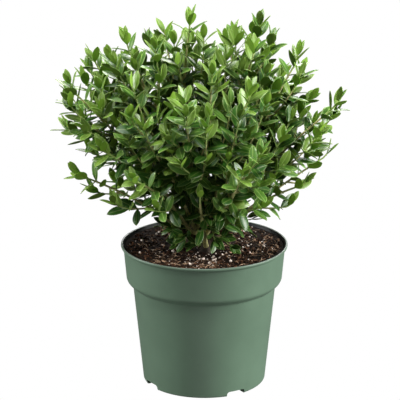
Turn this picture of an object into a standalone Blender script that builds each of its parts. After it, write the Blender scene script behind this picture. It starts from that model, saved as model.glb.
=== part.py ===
"""Japanese holly shrub in its nursery pot.

The shrub is a set of named sub-parts: the pot, the potting soil, the short main stem, one
bough for every leader of the crown, and one mass of foliage at the end of every bough.
Lengths are in metres and +Z is up. The origin is the middle of the pot's flat underside,
+X is the shrub's right side and -Y its front.
"""

import math
import random

import bmesh
import bpy
from mathutils import Matrix, Vector
from mathutils.bvhtree import BVHTree

MM = 0.001
UP = Vector((0.0, 0.0, 1.0))
GAP = 0.3 * MM

# Pot: a turned shell with a straight band below its lip and four drain arches in its foot.
POT_HEIGHT = 141.5 * MM
POT_STEPS = 40
RIM_RADIUS = 82.5 * MM
BASE_RADIUS = 61.0 * MM
BAND_TALL = 37.4 * MM
BAND_FOOT_RADIUS = 77.2 * MM
LIP_TALL = 4.0 * MM
LIP_OUT = 2.5 * MM
LIP_TOP_RADIUS = RIM_RADIUS - 0.5 * MM
SHOULDER_TALL = 4.0 * MM
SHOULDER_IN = 6.3 * MM
WALL = 1.3 * MM
FLOOR = 1.6 * MM
EDGE = 1.2 * MM
ARCH_COUNT = 4
ARCH_AZIMUTH = math.radians(31.0)
ARCH_WIDE = 20.0 * MM
ARCH_TALL = 5.0 * MM
ARCH_DEEP = 15.0 * MM
ARCH_CORNER = 3.0 * MM
DRAIN_HOLE_RADIUS = 3.5 * MM

# Potting soil: a plug that fills the pot to below the lip, with an uneven top.
SOIL_TOP = 132.0 * MM
SOIL_EDGE_DROP = 2.0 * MM
SOIL_STEPS = 28
SOIL_RINGS = 4
SOIL_BUMP = 1.3 * MM
STEM_SEAT_RADIUS = 9.0 * MM

# Main stem: short, leaning, with a flare where it enters the soil.
STEM_BASE = Vector((2.0 * MM, 0.0, SOIL_TOP + GAP))
STEM_TOP = Vector((-3.5 * MM, -1.0 * MM, SOIL_TOP + 27.0 * MM))
STEM_BASE_RADIUS = 4.6 * MM
STEM_TOP_RADIUS = 3.5 * MM
STEM_FLARE = 2.6 * MM
STEM_FLARE_FADE = 5.0 * MM
STEM_RINGS = 9
STEM_SIDES = 12

# Boughs: one tapering limb for each leader of the crown.
BOUGH_RINGS = 5
BOUGH_SIDES = 5
MAIN_BOUGH_RADII = (2.7 * MM, 1.8 * MM)
SIDE_BOUGH_RADII = (2.0 * MM, 1.6 * MM)
UPRIGHT_BOUGH_REACH = 50.0 * MM
LOW_BOUGH_REACH = 35.0 * MM
LOW_LEAN = math.radians(62.0)
BOUGH_SPREAD = 0.35
BOUGH_LIFT = 0.25
BEND_AT = 0.45

# Crown: every leader is a direction from the heart of the shrub and a reach to its tip.
# Columns: name, azimuth and lean in degrees, reach in mm, the bough that carries it, and
# its fork, as a height on the main stem in mm or as a share of the carrying bough.
HEART = Vector((0.0, 0.0, SOIL_TOP + 12.0 * MM))
LEADERS = (
    ("crown", -142, 5, 238, "main_stem", 27),
    ("top_left", 153, 12, 226, "crown", 0.30),
    ("top_right", -10, 14, 239, "crown", 0.45),
    ("back_high", 73, 23, 214, "crown", 0.60),
    ("left_upper", 168, 32, 224, "main_stem", 25),
    ("left_top", -161, 21, 236, "left_upper", 0.40),
    ("left_mid", 172, 51, 196, "main_stem", 11),
    ("left_high", -167, 39, 225, "left_mid", 0.50),
    ("left_low", -168, 59, 168, "left_mid", 0.35),
    ("right_high", -8, 42, 209, "main_stem", 14),
    ("right_top", 9, 27, 219, "right_high", 0.50),
    ("right_mid", 14, 58, 170, "right_high", 0.40),
    ("right_low", -14, 57, 141, "right_high", 0.25),
    ("front_left", -131, 36, 195, "main_stem", 17),
    ("front_mid", -102, 30, 204, "front_left", 0.45),
    ("front_low_left", -128, 51, 158, "front_left", 0.35),
    ("front_right", -60, 27, 203, "main_stem", 20),
    ("front_high", -82, 16, 201, "front_right", 0.50),
    ("front_low_right", -61, 44, 172, "front_right", 0.30),
    ("front_low", -93, 50, 126, "main_stem", 8),
    ("back_left", 132, 42, 210, "main_stem", 18),
    ("back_low_left", 142, 60, 152, "back_left", 0.40),
    ("back_right", 52, 42, 205, "main_stem", 8),
    ("back_mid", 92, 50, 185, "back_right", 0.45),
    ("back_low_right", 45, 60, 152, "back_right", 0.35),
)

# Growth rule of a mass: one leader twig, side shoots round it, and leaves on all of them.
GOLDEN_TURN = math.radians(137.5)
CELL_MARGIN = 0.3 * MM
LIMB_MARGIN = 1.2 * MM
LIMBS_WITHIN = 80.0 * MM
GROUND_CLEAR = 2.0 * MM
RIM_SLOPE_FROM = 58.0 * MM
RIM_SLOPE = 1.0
TWIG_SIDES = 3
SHORT_EDGE = 0.2 * MM
LEADER_RINGS = 5
LEADER_RADII = (1.6 * MM, 1.0 * MM)
LEADER_SHORT = 24.65 * MM
SHOOT_RADII = (1.0 * MM, 0.75 * MM)
SHOOT_RINGS = 3
SHOOT_FIRST = 12.0 * MM
SHOOT_SPACING = 16.0 * MM
SHOOT_LAST = 9.6 * MM
SHOOT_VARIES = (0.85, 1.15)
SHOOT_LEAST = 8.0 * MM
SHOOT_ANGLE = math.radians(46.0)
SHOOT_SHARE = 0.36
SHOOT_EXTRA = 13.0 * MM
SHOOT_FOLLOW = 0.35
SHOOT_RISE = 0.25
LEAF_LONG = 29.0 * MM
LEAF_WIDE = 13.0 * MM
LEAF_THICK = 0.9 * MM
LEAF_SINK = 0.2 * MM
LEAF_NEAR = 0.38
LEAF_FAR = 0.72
LEAF_FAR_WIDTH = 0.84
LEAF_TIP_DROP = 0.36 * MM
TUFT_STEP = 2.0 * MM
TUFT_BEYOND = 17.4 * MM
LEAF_SPACING = 12.5 * MM
LEADER_LEAF_SPACING = 20.0 * MM
LEADER_TUFT = 3
SHOOT_TUFT = 2
LEAF_ANGLE_TIP = math.radians(32.0)
LEAF_ANGLE_OLD = math.radians(56.0)
LEAF_ANGLE_VARIES = math.radians(6.0)
LEAF_SIZES = (0.88, 1.05)
SEED = 2299

POT_GREEN = (0.085, 0.175, 0.105)
SOIL_BROWN = (0.035, 0.022, 0.014)
BARK_BROWN = (0.150, 0.105, 0.060)
LEAF_GREEN = (0.055, 0.150, 0.030)


def clear_scene():
    for obj in list(bpy.data.objects):
        bpy.data.objects.remove(obj, do_unlink=True)


def surface(name, colour, roughness):
    material = bpy.data.materials.new(name)
    material.use_nodes = True
    shader = material.node_tree.nodes["Principled BSDF"]
    shader.inputs["Base Color"].default_value = (*colour, 1.0)
    shader.inputs["Roughness"].default_value = roughness
    shader.inputs["Metallic"].default_value = 0.0
    return material


def add_object(name, bm, material=None):
    """The bmesh as an object, with its faces turned outwards."""
    bmesh.ops.recalc_face_normals(bm, faces=bm.faces)
    mesh = bpy.data.meshes.new(name)
    bm.to_mesh(mesh)
    bm.free()
    if material:
        mesh.materials.append(material)
    obj = bpy.data.objects.new(name, mesh)
    bpy.context.scene.collection.objects.link(obj)
    return obj


def round_off(obj, degrees):
    obj.data.shade_smooth()
    obj.data.set_sharp_from_angle(angle=math.radians(degrees))


def is_closed(mesh):
    """True where every edge has two faces and the mesh is not empty."""
    bm = bmesh.new()
    bm.from_mesh(mesh)
    whole = len(bm.faces) > 0 and all(edge.is_manifold for edge in bm.edges)
    bm.free()
    return whole


def combine(target, tools, operation):
    """Applies one Boolean of the target with all the tools, then removes the tools."""
    group = bpy.data.collections.new("tools")
    bpy.context.scene.collection.children.link(group)
    for tool in tools:
        for collection in list(tool.users_collection):
            collection.objects.unlink(tool)
        group.objects.link(tool)
    modifier = target.modifiers.new("combine", "BOOLEAN")
    modifier.operation = operation
    modifier.operand_type = "COLLECTION"
    modifier.collection = group
    for solver in ("EXACT", "MANIFOLD"):
        modifier.solver = solver
        bpy.context.view_layer.update()
        graph = bpy.context.evaluated_depsgraph_get()
        result = bpy.data.meshes.new_from_object(target.evaluated_get(graph))
        if is_closed(result):
            break
    target.modifiers.remove(modifier)
    target.data = result
    for tool in tools:
        bpy.data.objects.remove(tool, do_unlink=True)
    bpy.data.collections.remove(group)


def islands_of(bm):
    """The sets of faces that hang together by their edges, the largest last."""
    unseen = set(bm.faces)
    islands = []
    while unseen:
        front = [unseen.pop()]
        island = set(front)
        while front:
            for edge in front.pop().edges:
                for face in edge.link_faces:
                    if face in unseen:
                        unseen.remove(face)
                        island.add(face)
                        front.append(face)
        islands.append(island)
    return sorted(islands, key=len)


def tidy_union(obj):
    """Drops loose scraps and sealed hollows, and closes up the shortest edges of the joints."""
    bm = bmesh.new()
    bm.from_mesh(obj.data)
    scraps = [face for island in islands_of(bm)[:-1] for face in island]
    bmesh.ops.delete(bm, geom=scraps, context="FACES")
    bm.to_mesh(obj.data)
    bmesh.ops.dissolve_degenerate(bm, dist=SHORT_EDGE, edges=bm.edges)
    sound = all(item.is_manifold for item in (*bm.edges, *bm.verts))
    if sound and len(islands_of(bm)) == 1:
        bm.to_mesh(obj.data)
    bm.free()


def turned(profile, steps):
    """A solid of revolution about Z, from (radius, height) pairs that start and end on it."""
    bm = bmesh.new()
    verts = [bm.verts.new((radius, 0.0, height)) for radius, height in profile]
    edges = [bm.edges.new(pair) for pair in zip(verts, verts[1:])]
    bmesh.ops.spin(
        bm,
        geom=verts + edges,
        cent=(0.0, 0.0, 0.0),
        axis=(0.0, 0.0, 1.0),
        angle=math.tau,
        steps=steps,
        use_merge=True,
    )
    bmesh.ops.remove_doubles(bm, verts=bm.verts, dist=0.001 * MM)
    return bm


def pot_side():
    """(radius, height) pairs up the pot's outer side, from its foot to below the lip."""
    band_foot = POT_HEIGHT - BAND_TALL
    shoulder_radius = BAND_FOOT_RADIUS - SHOULDER_IN
    return [
        (BASE_RADIUS - EDGE, 0.0),
        (BASE_RADIUS, EDGE),
        (shoulder_radius, band_foot - SHOULDER_TALL),
        (BAND_FOOT_RADIUS - EDGE, band_foot),
        (BAND_FOOT_RADIUS, band_foot + 2 * EDGE),
        (RIM_RADIUS - LIP_OUT, POT_HEIGHT - LIP_TALL),
    ]


def pot_radius(height):
    """The pot's outer radius at a height below its lip."""
    side = pot_side()
    for (low_radius, low), (high_radius, high) in zip(side, side[1:]):
        if height <= high:
            share = (height - low) / (high - low)
            return low_radius + share * (high_radius - low_radius)
    return side[-1][0]


def pot_hollow(shrink, bottom, top):
    """(radius, height) pairs up the pot's inside, moved inwards by shrink."""
    heights = [bottom] + [height for _, height in pot_side() if bottom < height < top] + [top]
    return [(pot_radius(height) - WALL - shrink, height) for height in heights]


def arch_block(name, azimuth, grow):
    """A block with a round-cornered top that runs outwards through the foot of the pot."""
    half = ARCH_WIDE / 2 + grow
    top = ARCH_TALL + grow
    corner = ARCH_CORNER + grow
    outline = [(-half, -5 * MM), (half, -5 * MM)]
    for side, start in ((1, 0), (-1, 90)):
        for step in range(4):
            turn = math.radians(start + 30 * step)
            aside = side * (half - corner) + corner * math.cos(turn)
            outline.append((aside, top - corner + corner * math.sin(turn)))
    near = BASE_RADIUS - ARCH_DEEP - grow
    far = BASE_RADIUS + 10 * MM
    bm = bmesh.new()
    face = bm.faces.new([bm.verts.new((near, aside, height)) for aside, height in outline])
    grown = bmesh.ops.extrude_face_region(bm, geom=[face])["geom"]
    moved = [item for item in grown if isinstance(item, bmesh.types.BMVert)]
    bmesh.ops.translate(bm, verts=moved, vec=(far - near, 0.0, 0.0))
    bmesh.ops.rotate(bm, verts=bm.verts, matrix=Matrix.Rotation(azimuth, 3, "Z"))
    return add_object(name, bm)


def arch_turns():
    return [ARCH_AZIMUTH + math.tau * index / ARCH_COUNT for index in range(ARCH_COUNT)]


def drain_arches(grow):
    return [arch_block("arch", turn, grow) for turn in arch_turns()]


def drain_hole(azimuth):
    """An upright cylinder through the roof of one arch."""
    bm = bmesh.new()
    bmesh.ops.create_cone(
        bm,
        cap_ends=True,
        segments=12,
        radius1=DRAIN_HOLE_RADIUS,
        radius2=DRAIN_HOLE_RADIUS,
        depth=4 * WALL,
    )
    out = BASE_RADIUS - ARCH_DEEP / 2
    place = Vector((out * math.cos(azimuth), out * math.sin(azimuth), ARCH_TALL + WALL / 2))
    bmesh.ops.translate(bm, verts=bm.verts, vec=place)
    return add_object("drain_hole", bm)


def build_pot(material):
    lip = [
        (RIM_RADIUS - 0.3 * MM, POT_HEIGHT - 2.0 * MM),
        (RIM_RADIUS, POT_HEIGHT - 1.0 * MM),
        (LIP_TOP_RADIUS, POT_HEIGHT),
    ]
    outside = [(0.0, 0.0)] + pot_side() + lip + [(0.0, POT_HEIGHT)]
    pot = add_object("pot", turned(outside, POT_STEPS), material)
    above = POT_HEIGHT + 5 * MM
    mouth = [(LIP_TOP_RADIUS - WALL, POT_HEIGHT), (LIP_TOP_RADIUS - WALL, above), (0.0, above)]
    hollow = [(0.0, FLOOR)] + pot_hollow(0.0, FLOOR, POT_HEIGHT - LIP_TALL) + mouth
    space = add_object("space", turned(hollow, POT_STEPS))
    combine(space, drain_arches(WALL), "DIFFERENCE")
    combine(pot, [space], "DIFFERENCE")
    combine(pot, drain_arches(0.0), "DIFFERENCE")
    combine(pot, [drain_hole(turn) for turn in arch_turns()], "DIFFERENCE")
    round_off(pot, 35)


def soil_bump(x, y):
    """The rise of the soil's top at a point: a few crossed waves, about a bark chip high."""
    waves = (
        math.sin(x / (7.1 * MM) + 0.4) * math.cos(y / (8.3 * MM))
        + 0.6 * math.sin((x + y) / (4.7 * MM) + 1.9)
        + 0.5 * math.cos((x - 1.7 * y) / (5.9 * MM))
    )
    return SOIL_BUMP * waves / 2


def build_soil(material):
    bottom = FLOOR + GAP
    edge_top = SOIL_TOP - SOIL_EDGE_DROP
    side = pot_hollow(GAP, bottom, edge_top)
    edge_radius = side[-1][0]
    rings = []
    for index in range(1, SOIL_RINGS):
        share = index / SOIL_RINGS
        radius = edge_radius + share * (STEM_SEAT_RADIUS - edge_radius)
        rings.append((radius, SOIL_TOP - SOIL_EDGE_DROP * (1 - share) ** 2))
    seat = [(STEM_SEAT_RADIUS, SOIL_TOP), (0.0, SOIL_TOP)]
    bm = turned([(0.0, bottom)] + side + rings + seat, SOIL_STEPS)
    for vert in bm.verts:
        radius = vert.co.xy.length
        on_top = vert.co.z > edge_top + 0.01 * MM
        if on_top and radius > STEM_SEAT_RADIUS + 1 * MM:
            vert.co.z += soil_bump(vert.co.x, vert.co.y)
    soil = add_object("potting_soil", bm, material)
    combine(soil, drain_arches(WALL + GAP), "DIFFERENCE")
    round_off(soil, 50)


class Route:
    """A path of points, read by the distance along it."""

    def __init__(self, points):
        self.points = points
        self.marks = [0.0]
        for near, far in zip(points, points[1:]):
            self.marks.append(self.marks[-1] + (far - near).length)
        self.length = self.marks[-1]

    def at(self, distance):
        """The point and the direction at a distance along the path."""
        last = len(self.points) - 2
        index = 0
        while index < last and self.marks[index + 1] < distance:
            index += 1
        near, far = self.points[index], self.points[index + 1]
        step = far - near
        share = (distance - self.marks[index]) / step.length
        return near + share * step, step.normalized()

    def even(self, count):
        """As many points as count, evenly spaced from the start to the end."""
        return [self.at(self.length * index / (count - 1))[0] for index in range(count)]


def bent(start, bend, end, count=24):
    """A smooth path from start to end that leaves towards bend."""
    points = []
    for index in range(count):
        share = index / (count - 1)
        back = 1.0 - share
        points.append(start * back * back + bend * (2 * share * back) + end * share * share)
    return Route(points)


def direction_of(azimuth, lean):
    """The unit vector at an azimuth, leaning from upright, both in degrees."""
    turn, tilt = math.radians(azimuth), math.radians(lean)
    flat = math.sin(tilt)
    return Vector((flat * math.cos(turn), flat * math.sin(turn), math.cos(tilt)))


def across(direction, towards=UP):
    """A unit vector square to a direction, as near to another as that allows."""
    side = towards - towards.dot(direction) * direction
    if side.length < 0.05:
        side = Vector((1.0, 0.0, 0.0)) - direction.x * direction
    return side.normalized()


def swung(direction, turn, lean):
    """A unit vector that leans away from a direction, at a turn round it."""
    side = across(direction)
    outward = math.cos(turn) * side + math.sin(turn) * direction.cross(side)
    return math.cos(lean) * direction + math.sin(lean) * outward


def tube(points, radii, sides, start_plane=None):
    """A closed tapering tube; start_plane, a point and a normal, cuts its first end."""
    bm = bmesh.new()
    rings = []
    side = across((points[1] - points[0]).normalized())
    for index, point in enumerate(points):
        before = points[max(index - 1, 0)]
        after = points[min(index + 1, len(points) - 1)]
        along = (after - before).normalized()
        side = across(along, side)
        other = along.cross(side)
        ring = []
        for corner in range(sides):
            turn = math.tau * corner / sides
            place = point + radii[index] * (math.cos(turn) * side + math.sin(turn) * other)
            if index == 0 and start_plane:
                origin, normal = start_plane
                place += along * ((origin - place).dot(normal) / along.dot(normal))
            ring.append(bm.verts.new(place))
        rings.append(ring)
    for low, high in zip(rings, rings[1:]):
        for corner in range(sides):
            after = (corner + 1) % sides
            bm.faces.new((low[corner], low[after], high[after], high[corner]))
    bm.faces.new(rings[0])
    bm.faces.new(rings[-1])
    return bm


def taper(radii, count):
    """Radii that narrow evenly from the first of a pair to the second."""
    first, last = radii
    return [first + (last - first) * index / (count - 1) for index in range(count)]


class Limb:
    """The main stem or a bough: its route, its radius along it, and what cuts its start."""

    def __init__(self, route, radii, start_plane):
        self.route = route
        self.radii = radii
        self.start_plane = start_plane

    def radius(self, distance):
        place = distance / self.route.length * (len(self.radii) - 1)
        index = min(int(place), len(self.radii) - 2)
        share = place - index
        return self.radii[index] * (1 - share) + self.radii[index + 1] * share

    def clear_of(self, point, margin):
        """True where a point lies further than the margin from the limb's bark."""
        for index, (near, far) in enumerate(zip(self.route.points, self.route.points[1:])):
            step = far - near
            share = max(0.0, min(1.0, (point - near).dot(step) / step.length_squared))
            if (point - near - share * step).length < self.radii[index] + margin:
                return False
        return True


def main_stem():
    lift = STEM_TOP - STEM_BASE
    route = Route(bent(STEM_BASE, STEM_BASE + 0.5 * lift.z * UP, STEM_TOP).even(STEM_RINGS))
    radii = []
    for mark, plain in zip(route.marks, taper((STEM_BASE_RADIUS, STEM_TOP_RADIUS), STEM_RINGS)):
        radii.append(plain + STEM_FLARE * math.exp(-mark / STEM_FLARE_FADE))
    return Limb(route, radii, (STEM_BASE, UP))


def bough_reach(lean):
    """How far from the heart a bough ends: the low ones enter their foliage sooner."""
    share = math.radians(lean) / LOW_LEAN
    return UPRIGHT_BOUGH_REACH + share * (LOW_BOUGH_REACH - UPRIGHT_BOUGH_REACH)


def bough(azimuth, lean, carrier, fork, on_stem):
    """A limb from its fork on the carrying limb to the foot of its mass of foliage."""
    towards = direction_of(azimuth, lean)
    end = HEART + bough_reach(lean) * towards
    radii = taper(MAIN_BOUGH_RADII if on_stem else SIDE_BOUGH_RADII, BOUGH_RINGS)
    height = fork * MM if on_stem else fork * carrier.route.length
    if height >= carrier.route.length - GAP:
        root, along = carrier.route.at(carrier.route.length)
        start, normal = root + GAP * along, along
    else:
        root, along = carrier.route.at(height)
        normal = across(along, (end - root).normalized())
        thickest = carrier.radius(max(height - radii[0], 0.0))
        start = root + (thickest + GAP) * normal
    span = end - start
    first = (span.normalized() + BOUGH_SPREAD * normal - BOUGH_LIFT * towards).normalized()
    bend = start + BEND_AT * span.length * first
    route = Route(bent(start, bend, end).even(BOUGH_RINGS))
    return Limb(route, radii, (start, normal))


def grow_limbs():
    """The main stem and the boughs, by name."""
    limbs = {"main_stem": main_stem()}
    for name, azimuth, lean, _, carrier, fork in LEADERS:
        on_stem = carrier == "main_stem"
        limbs[name] = bough(azimuth, lean, limbs[carrier], fork, on_stem)
    return limbs


class Cell:
    """The space of one mass: the cone of directions nearer to its leader than to any other."""

    def __init__(self, index, axes, limbs):
        own = axes[index]
        self.walls = [(own - other).normalized() for other in axes if other is not own]
        self.reach = LEADERS[index][3] * MM
        self.limbs = limbs

    def holds(self, point):
        out = point - HEART
        if out.length > self.reach:
            return False
        if any(out.dot(wall) < CELL_MARGIN for wall in self.walls):
            return False
        rim_rise = RIM_SLOPE * max(0.0, point.xy.length - RIM_SLOPE_FROM)
        return point.z > SOIL_TOP + GROUND_CLEAR + rim_rise

    def free(self, points, margin):
        """True where all the points are in the cell and clear of the limbs."""
        if not all(self.holds(point) for point in points):
            return False
        near = [point for point in points if (point - HEART).length < LIMBS_WITHIN]
        return all(limb.clear_of(point, margin) for point in near for limb in self.limbs)


class Leaf:
    """One leaf: a frame at its root, whose X runs to its tip and whose Z is its upper side."""

    # Corner numbers: 0 root, 1 and 2 near pair, 3 and 4 far pair, 5 tip.
    TOP = ((0, 2, 1), (1, 2, 4), (1, 4, 3), (3, 4, 5))
    UNDERSIDE = ((5, 1, 3), (5, 0, 1), (5, 2, 0), (5, 4, 2))

    def __init__(self, root, direction, face, long, wide):
        self.root = root
        self.direction = direction
        self.face = across(direction, face)
        self.side = self.face.cross(direction)
        half = wide / 2
        near, far = LEAF_NEAR * long, LEAF_FAR * long
        self.corners = [
            self.place(-LEAF_SINK, 0.0, 0.0),
            self.place(near, half, LEAF_THICK),
            self.place(near, -half, LEAF_THICK),
            self.place(far, LEAF_FAR_WIDTH * half, LEAF_THICK),
            self.place(far, -LEAF_FAR_WIDTH * half, LEAF_THICK),
            self.place(long, 0.0, -LEAF_TIP_DROP),
        ]
        self.middle = self.place(long / 2, 0.0, 0.0)
        self.faces = BVHTree.FromPolygons(self.corners, self.TOP + self.UNDERSIDE)

    def place(self, along, aside, rise):
        return self.root + along * self.direction + aside * self.side + rise * self.face

    def shape(self):
        bm = bmesh.new()
        verts = [bm.verts.new(corner) for corner in self.corners]
        for face in self.TOP + self.UNDERSIDE:
            bm.faces.new([verts[number] for number in face])
        return bm


class Twig:
    """A three-sided twig of a mass: its path, its radii and its faces for tests of room."""

    def __init__(self, path, rings, radii, start_plane=None):
        self.path = Route(path.even(rings))
        self.radii = taper(radii, rings)
        self.start_plane = start_plane
        bm = self.shape()
        self.faces = BVHTree.FromBMesh(bm)
        bm.free()

    def shape(self):
        return tube(self.path.points, self.radii, TWIG_SIDES, self.start_plane)


class Mass:
    """The twigs and the leaves of one mass of foliage."""

    def __init__(self, index, limb, cell):
        self.cell = cell
        self.chance = random.Random(SEED + index)
        self.leaves = []
        root, along = limb.route.at(limb.route.length)
        start = root + GAP * along
        tip = HEART + (cell.reach - LEADER_SHORT) * direction_of(*LEADERS[index][1:3])
        path = bent(start, start + BEND_AT * (tip - start).length * along, tip)
        self.leader = Twig(path, LEADER_RINGS, LEADER_RADII, (start, along))
        self.shoots = []
        self.grow_shoots()
        self.dress(self.leader, SHOOT_FIRST / 2, LEADER_LEAF_SPACING, LEADER_TUFT)
        for shoot in self.shoots:
            self.dress(shoot, LEAF_SPACING, LEAF_SPACING, SHOOT_TUFT)

    def grow_shoots(self):
        """Side shoots in a spiral up the leader twig."""
        turn = self.chance.uniform(0.0, math.tau)
        mark = SHOOT_FIRST
        while mark < self.leader.path.length - SHOOT_LAST:
            self.grow_shoot(mark, turn)
            mark += SHOOT_SPACING * self.chance.uniform(*SHOOT_VARIES)
            turn += GOLDEN_TURN

    def grow_shoot(self, mark, turn):
        """A side shoot that bends up along the leader, as long as the cell allows."""
        point, along = self.leader.path.at(mark)
        first = swung(along, turn, SHOOT_ANGLE)
        last = (first + SHOOT_FOLLOW * along + SHOOT_RISE * UP).normalized()
        length = SHOOT_SHARE * (self.leader.path.length - mark) + SHOOT_EXTRA
        length *= self.chance.uniform(*SHOOT_VARIES)
        while length > SHOOT_LEAST:
            bend = point + 0.5 * length * first
            path = bent(point, bend, bend + 0.5 * length * last)
            beyond = path.points[-1] + TUFT_BEYOND * last
            if self.cell.free(path.even(5)[1:] + [beyond], LIMB_MARGIN + SHOOT_RADII[0]):
                self.shoots.append(Twig(path, SHOOT_RINGS, SHOOT_RADII))
                return
            length *= SHOOT_VARIES[0]

    def dress(self, twig, first, spacing, tuft):
        """Leaves up a twig, from one side of it to the next, with a tuft at its tip."""
        marks = []
        mark = first
        while mark < twig.path.length - 0.5 * spacing:
            marks.append(mark)
            mark += spacing
        marks += [twig.path.length - TUFT_STEP * (1 + count) for count in range(tuft)]
        side = self.chance.randrange(TWIG_SIDES)
        for count, mark in enumerate(marks):
            self.add_leaf(twig, mark, side + count)

    def add_leaf(self, twig, mark, side):
        """A leaf at a mark on its twig, on the first of its sides that has room."""
        point, along = twig.path.at(mark)
        share = mark / twig.path.length
        lean = LEAF_ANGLE_OLD + share * (LEAF_ANGLE_TIP - LEAF_ANGLE_OLD)
        lean += self.chance.uniform(-LEAF_ANGLE_VARIES, LEAF_ANGLE_VARIES)
        size = self.chance.uniform(*LEAF_SIZES)
        for skip in range(TWIG_SIDES):
            turn = math.tau * (side + skip + 0.5) / TWIG_SIDES
            direction = swung(along, turn, lean)
            leaf = Leaf(point, direction, along, size * LEAF_LONG, size * LEAF_WIDE)
            if self.has_room(leaf, twig):
                self.leaves.append(leaf)
                return

    def has_room(self, leaf, own_twig):
        for other in self.leaves:
            if (other.middle - leaf.middle).length < LEAF_LONG and other.faces.overlap(leaf.faces):
                return False
        for twig in [self.leader] + self.shoots:
            if twig is not own_twig and twig.faces.overlap(leaf.faces):
                return False
        return self.cell.free(leaf.corners[1:] + [leaf.middle], LIMB_MARGIN)


def build_mass(name, mass, material):
    """One Boolean union joins the leader twig with its side shoots and leaves."""
    foliage = add_object(name, mass.leader.shape(), material)
    tools = [add_object("shoot", shoot.shape()) for shoot in mass.shoots]
    tools += [add_object("leaf", leaf.shape()) for leaf in mass.leaves]
    combine(foliage, tools, "UNION")
    tidy_union(foliage)


def main():
    clear_scene()
    bark = surface("bark", BARK_BROWN, 0.85)
    leaf_green = surface("foliage", LEAF_GREEN, 0.45)
    build_pot(surface("pot", POT_GREEN, 0.42))
    build_soil(surface("potting_soil", SOIL_BROWN, 0.95))
    limbs = grow_limbs()
    for name, limb in limbs.items():
        sides = STEM_SIDES if name == "main_stem" else BOUGH_SIDES
        title = name if name == "main_stem" else "bough_" + name
        wood = add_object(title, tube(limb.route.points, limb.radii, sides, limb.start_plane), bark)
        round_off(wood, 50)
    axes = [direction_of(azimuth, lean) for _, azimuth, lean, _, _, _ in LEADERS]
    for index, leader in enumerate(LEADERS):
        cell = Cell(index, axes, list(limbs.values()))
        mass = Mass(index, limbs[leader[0]], cell)
        build_mass("foliage_" + leader[0], mass, leaf_green)


if __name__ == "__main__":
    main()
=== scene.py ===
"""Looks of the potted Japanese holly: leaves, twigs, bark, potting soil, pot and studio.

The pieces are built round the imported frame, in metres, with +Z up. The shrub grows by the rule
of its solids, carried on to finer twigs: a bough, a leader twig, side shoots in a spiral round
it, their own side shoots, and pairs of leaves up each of them.
"""

import itertools
import math
import random

import bmesh
import bpy
import numpy as np
from mathutils import Matrix, Vector, noise
from mathutils.bvhtree import BVHTree


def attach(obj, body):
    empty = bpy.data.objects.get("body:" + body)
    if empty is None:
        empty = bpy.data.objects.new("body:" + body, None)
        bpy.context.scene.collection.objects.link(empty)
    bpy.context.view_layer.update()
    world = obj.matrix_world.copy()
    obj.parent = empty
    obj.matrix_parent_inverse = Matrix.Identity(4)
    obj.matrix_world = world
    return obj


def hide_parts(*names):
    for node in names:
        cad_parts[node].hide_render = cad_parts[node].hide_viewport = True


bl_info = {
    "name": "Potted Japanese Holly",
    "version": (1, 0, 0),
    "blender": (4, 5, 0),
    "location": "View3D > Sidebar > Shrub",
    "description": "A small evergreen shrub in its nursery pot, grown by a seeded rule",
    "category": "Add Mesh",
}

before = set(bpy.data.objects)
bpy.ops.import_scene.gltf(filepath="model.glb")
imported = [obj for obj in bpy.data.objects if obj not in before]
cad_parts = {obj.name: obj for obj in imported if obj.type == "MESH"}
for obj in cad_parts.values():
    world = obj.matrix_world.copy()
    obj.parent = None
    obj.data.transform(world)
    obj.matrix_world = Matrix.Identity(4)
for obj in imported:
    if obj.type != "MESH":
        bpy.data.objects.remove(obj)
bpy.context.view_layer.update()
BODY = "root"

MM = 0.001
UP = Vector((0.0, 0.0, 1.0))
GAP = 0.3 * MM

# Pot: the same named sizes as its solid.
POT_HEIGHT = 141.5 * MM
RIM_RADIUS = 82.5 * MM
BASE_RADIUS = 61.0 * MM
BAND_TALL = 37.4 * MM
BAND_FOOT_RADIUS = 77.2 * MM
LIP_TALL = 4.0 * MM
LIP_OUT = 2.5 * MM
SHOULDER_TALL = 4.0 * MM
SHOULDER_IN = 6.3 * MM
WALL = 1.3 * MM
FLOOR = 1.6 * MM
EDGE = 1.2 * MM
ARCH_COUNT = 4
ARCH_AZIMUTH = math.radians(31.0)
ARCH_WIDE = 20.0 * MM
ARCH_TALL = 5.0 * MM
ARCH_DEEP = 15.0 * MM
ARCH_CORNER = 3.0 * MM
DRAIN_HOLE_RADIUS = 3.5 * MM
POT_STEPS = 160
INNER_TOP = POT_HEIGHT - LIP_TALL
# What the roofs of the arches are cut to, so that they stay inside the wall.
ROOF_LIMIT = (
    (0.0, 0.4 * MM), (BASE_RADIUS - 0.4 * MM, 0.4 * MM), (BASE_RADIUS + 0.2 * MM, 12 * MM),
    (0.0, 12 * MM),
)

# Potting soil.
SOIL_TOP = 132.0 * MM
SOIL_EDGE_RISE = 6.5 * MM
SOIL_BUMP = 1.3 * MM
SOIL_FOOT = 95.0 * MM
SOIL_STEPS = 200
SOIL_RINGS = 62
STEM_SEAT_RADIUS = 9.0 * MM
LITTER_CLEAR = 2.5 * MM
CHIP_COUNT = 1500
# Length, width and thickness of a chip in mm.
CHIP_SIZES = ((2.6, 10.0), (1.0, 3.4), (0.5, 1.6))
CHIP_SCALES = (0.45, 1.0)
CHIP_RISES = (-0.3, 0.7)
GRAIN_COUNT = 250
GRAIN_LARGEST = 3.8
# Drifts of perlite: x, y and spread in mm, and how dense they are.
PERLITE_DRIFTS = ((-3, -30, 24, 0.92), (50, 26, 26, 0.5))
PERLITE_LEAST = 0.08
FIBRE_COUNT = 150
FIBRE_LONG = (5.0, 15.0)
FIBRE_CURL = (-1.6, 1.6)
FIBRE_RADIUS = 0.16 * MM
FIBRE_STEPS = 7

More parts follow.
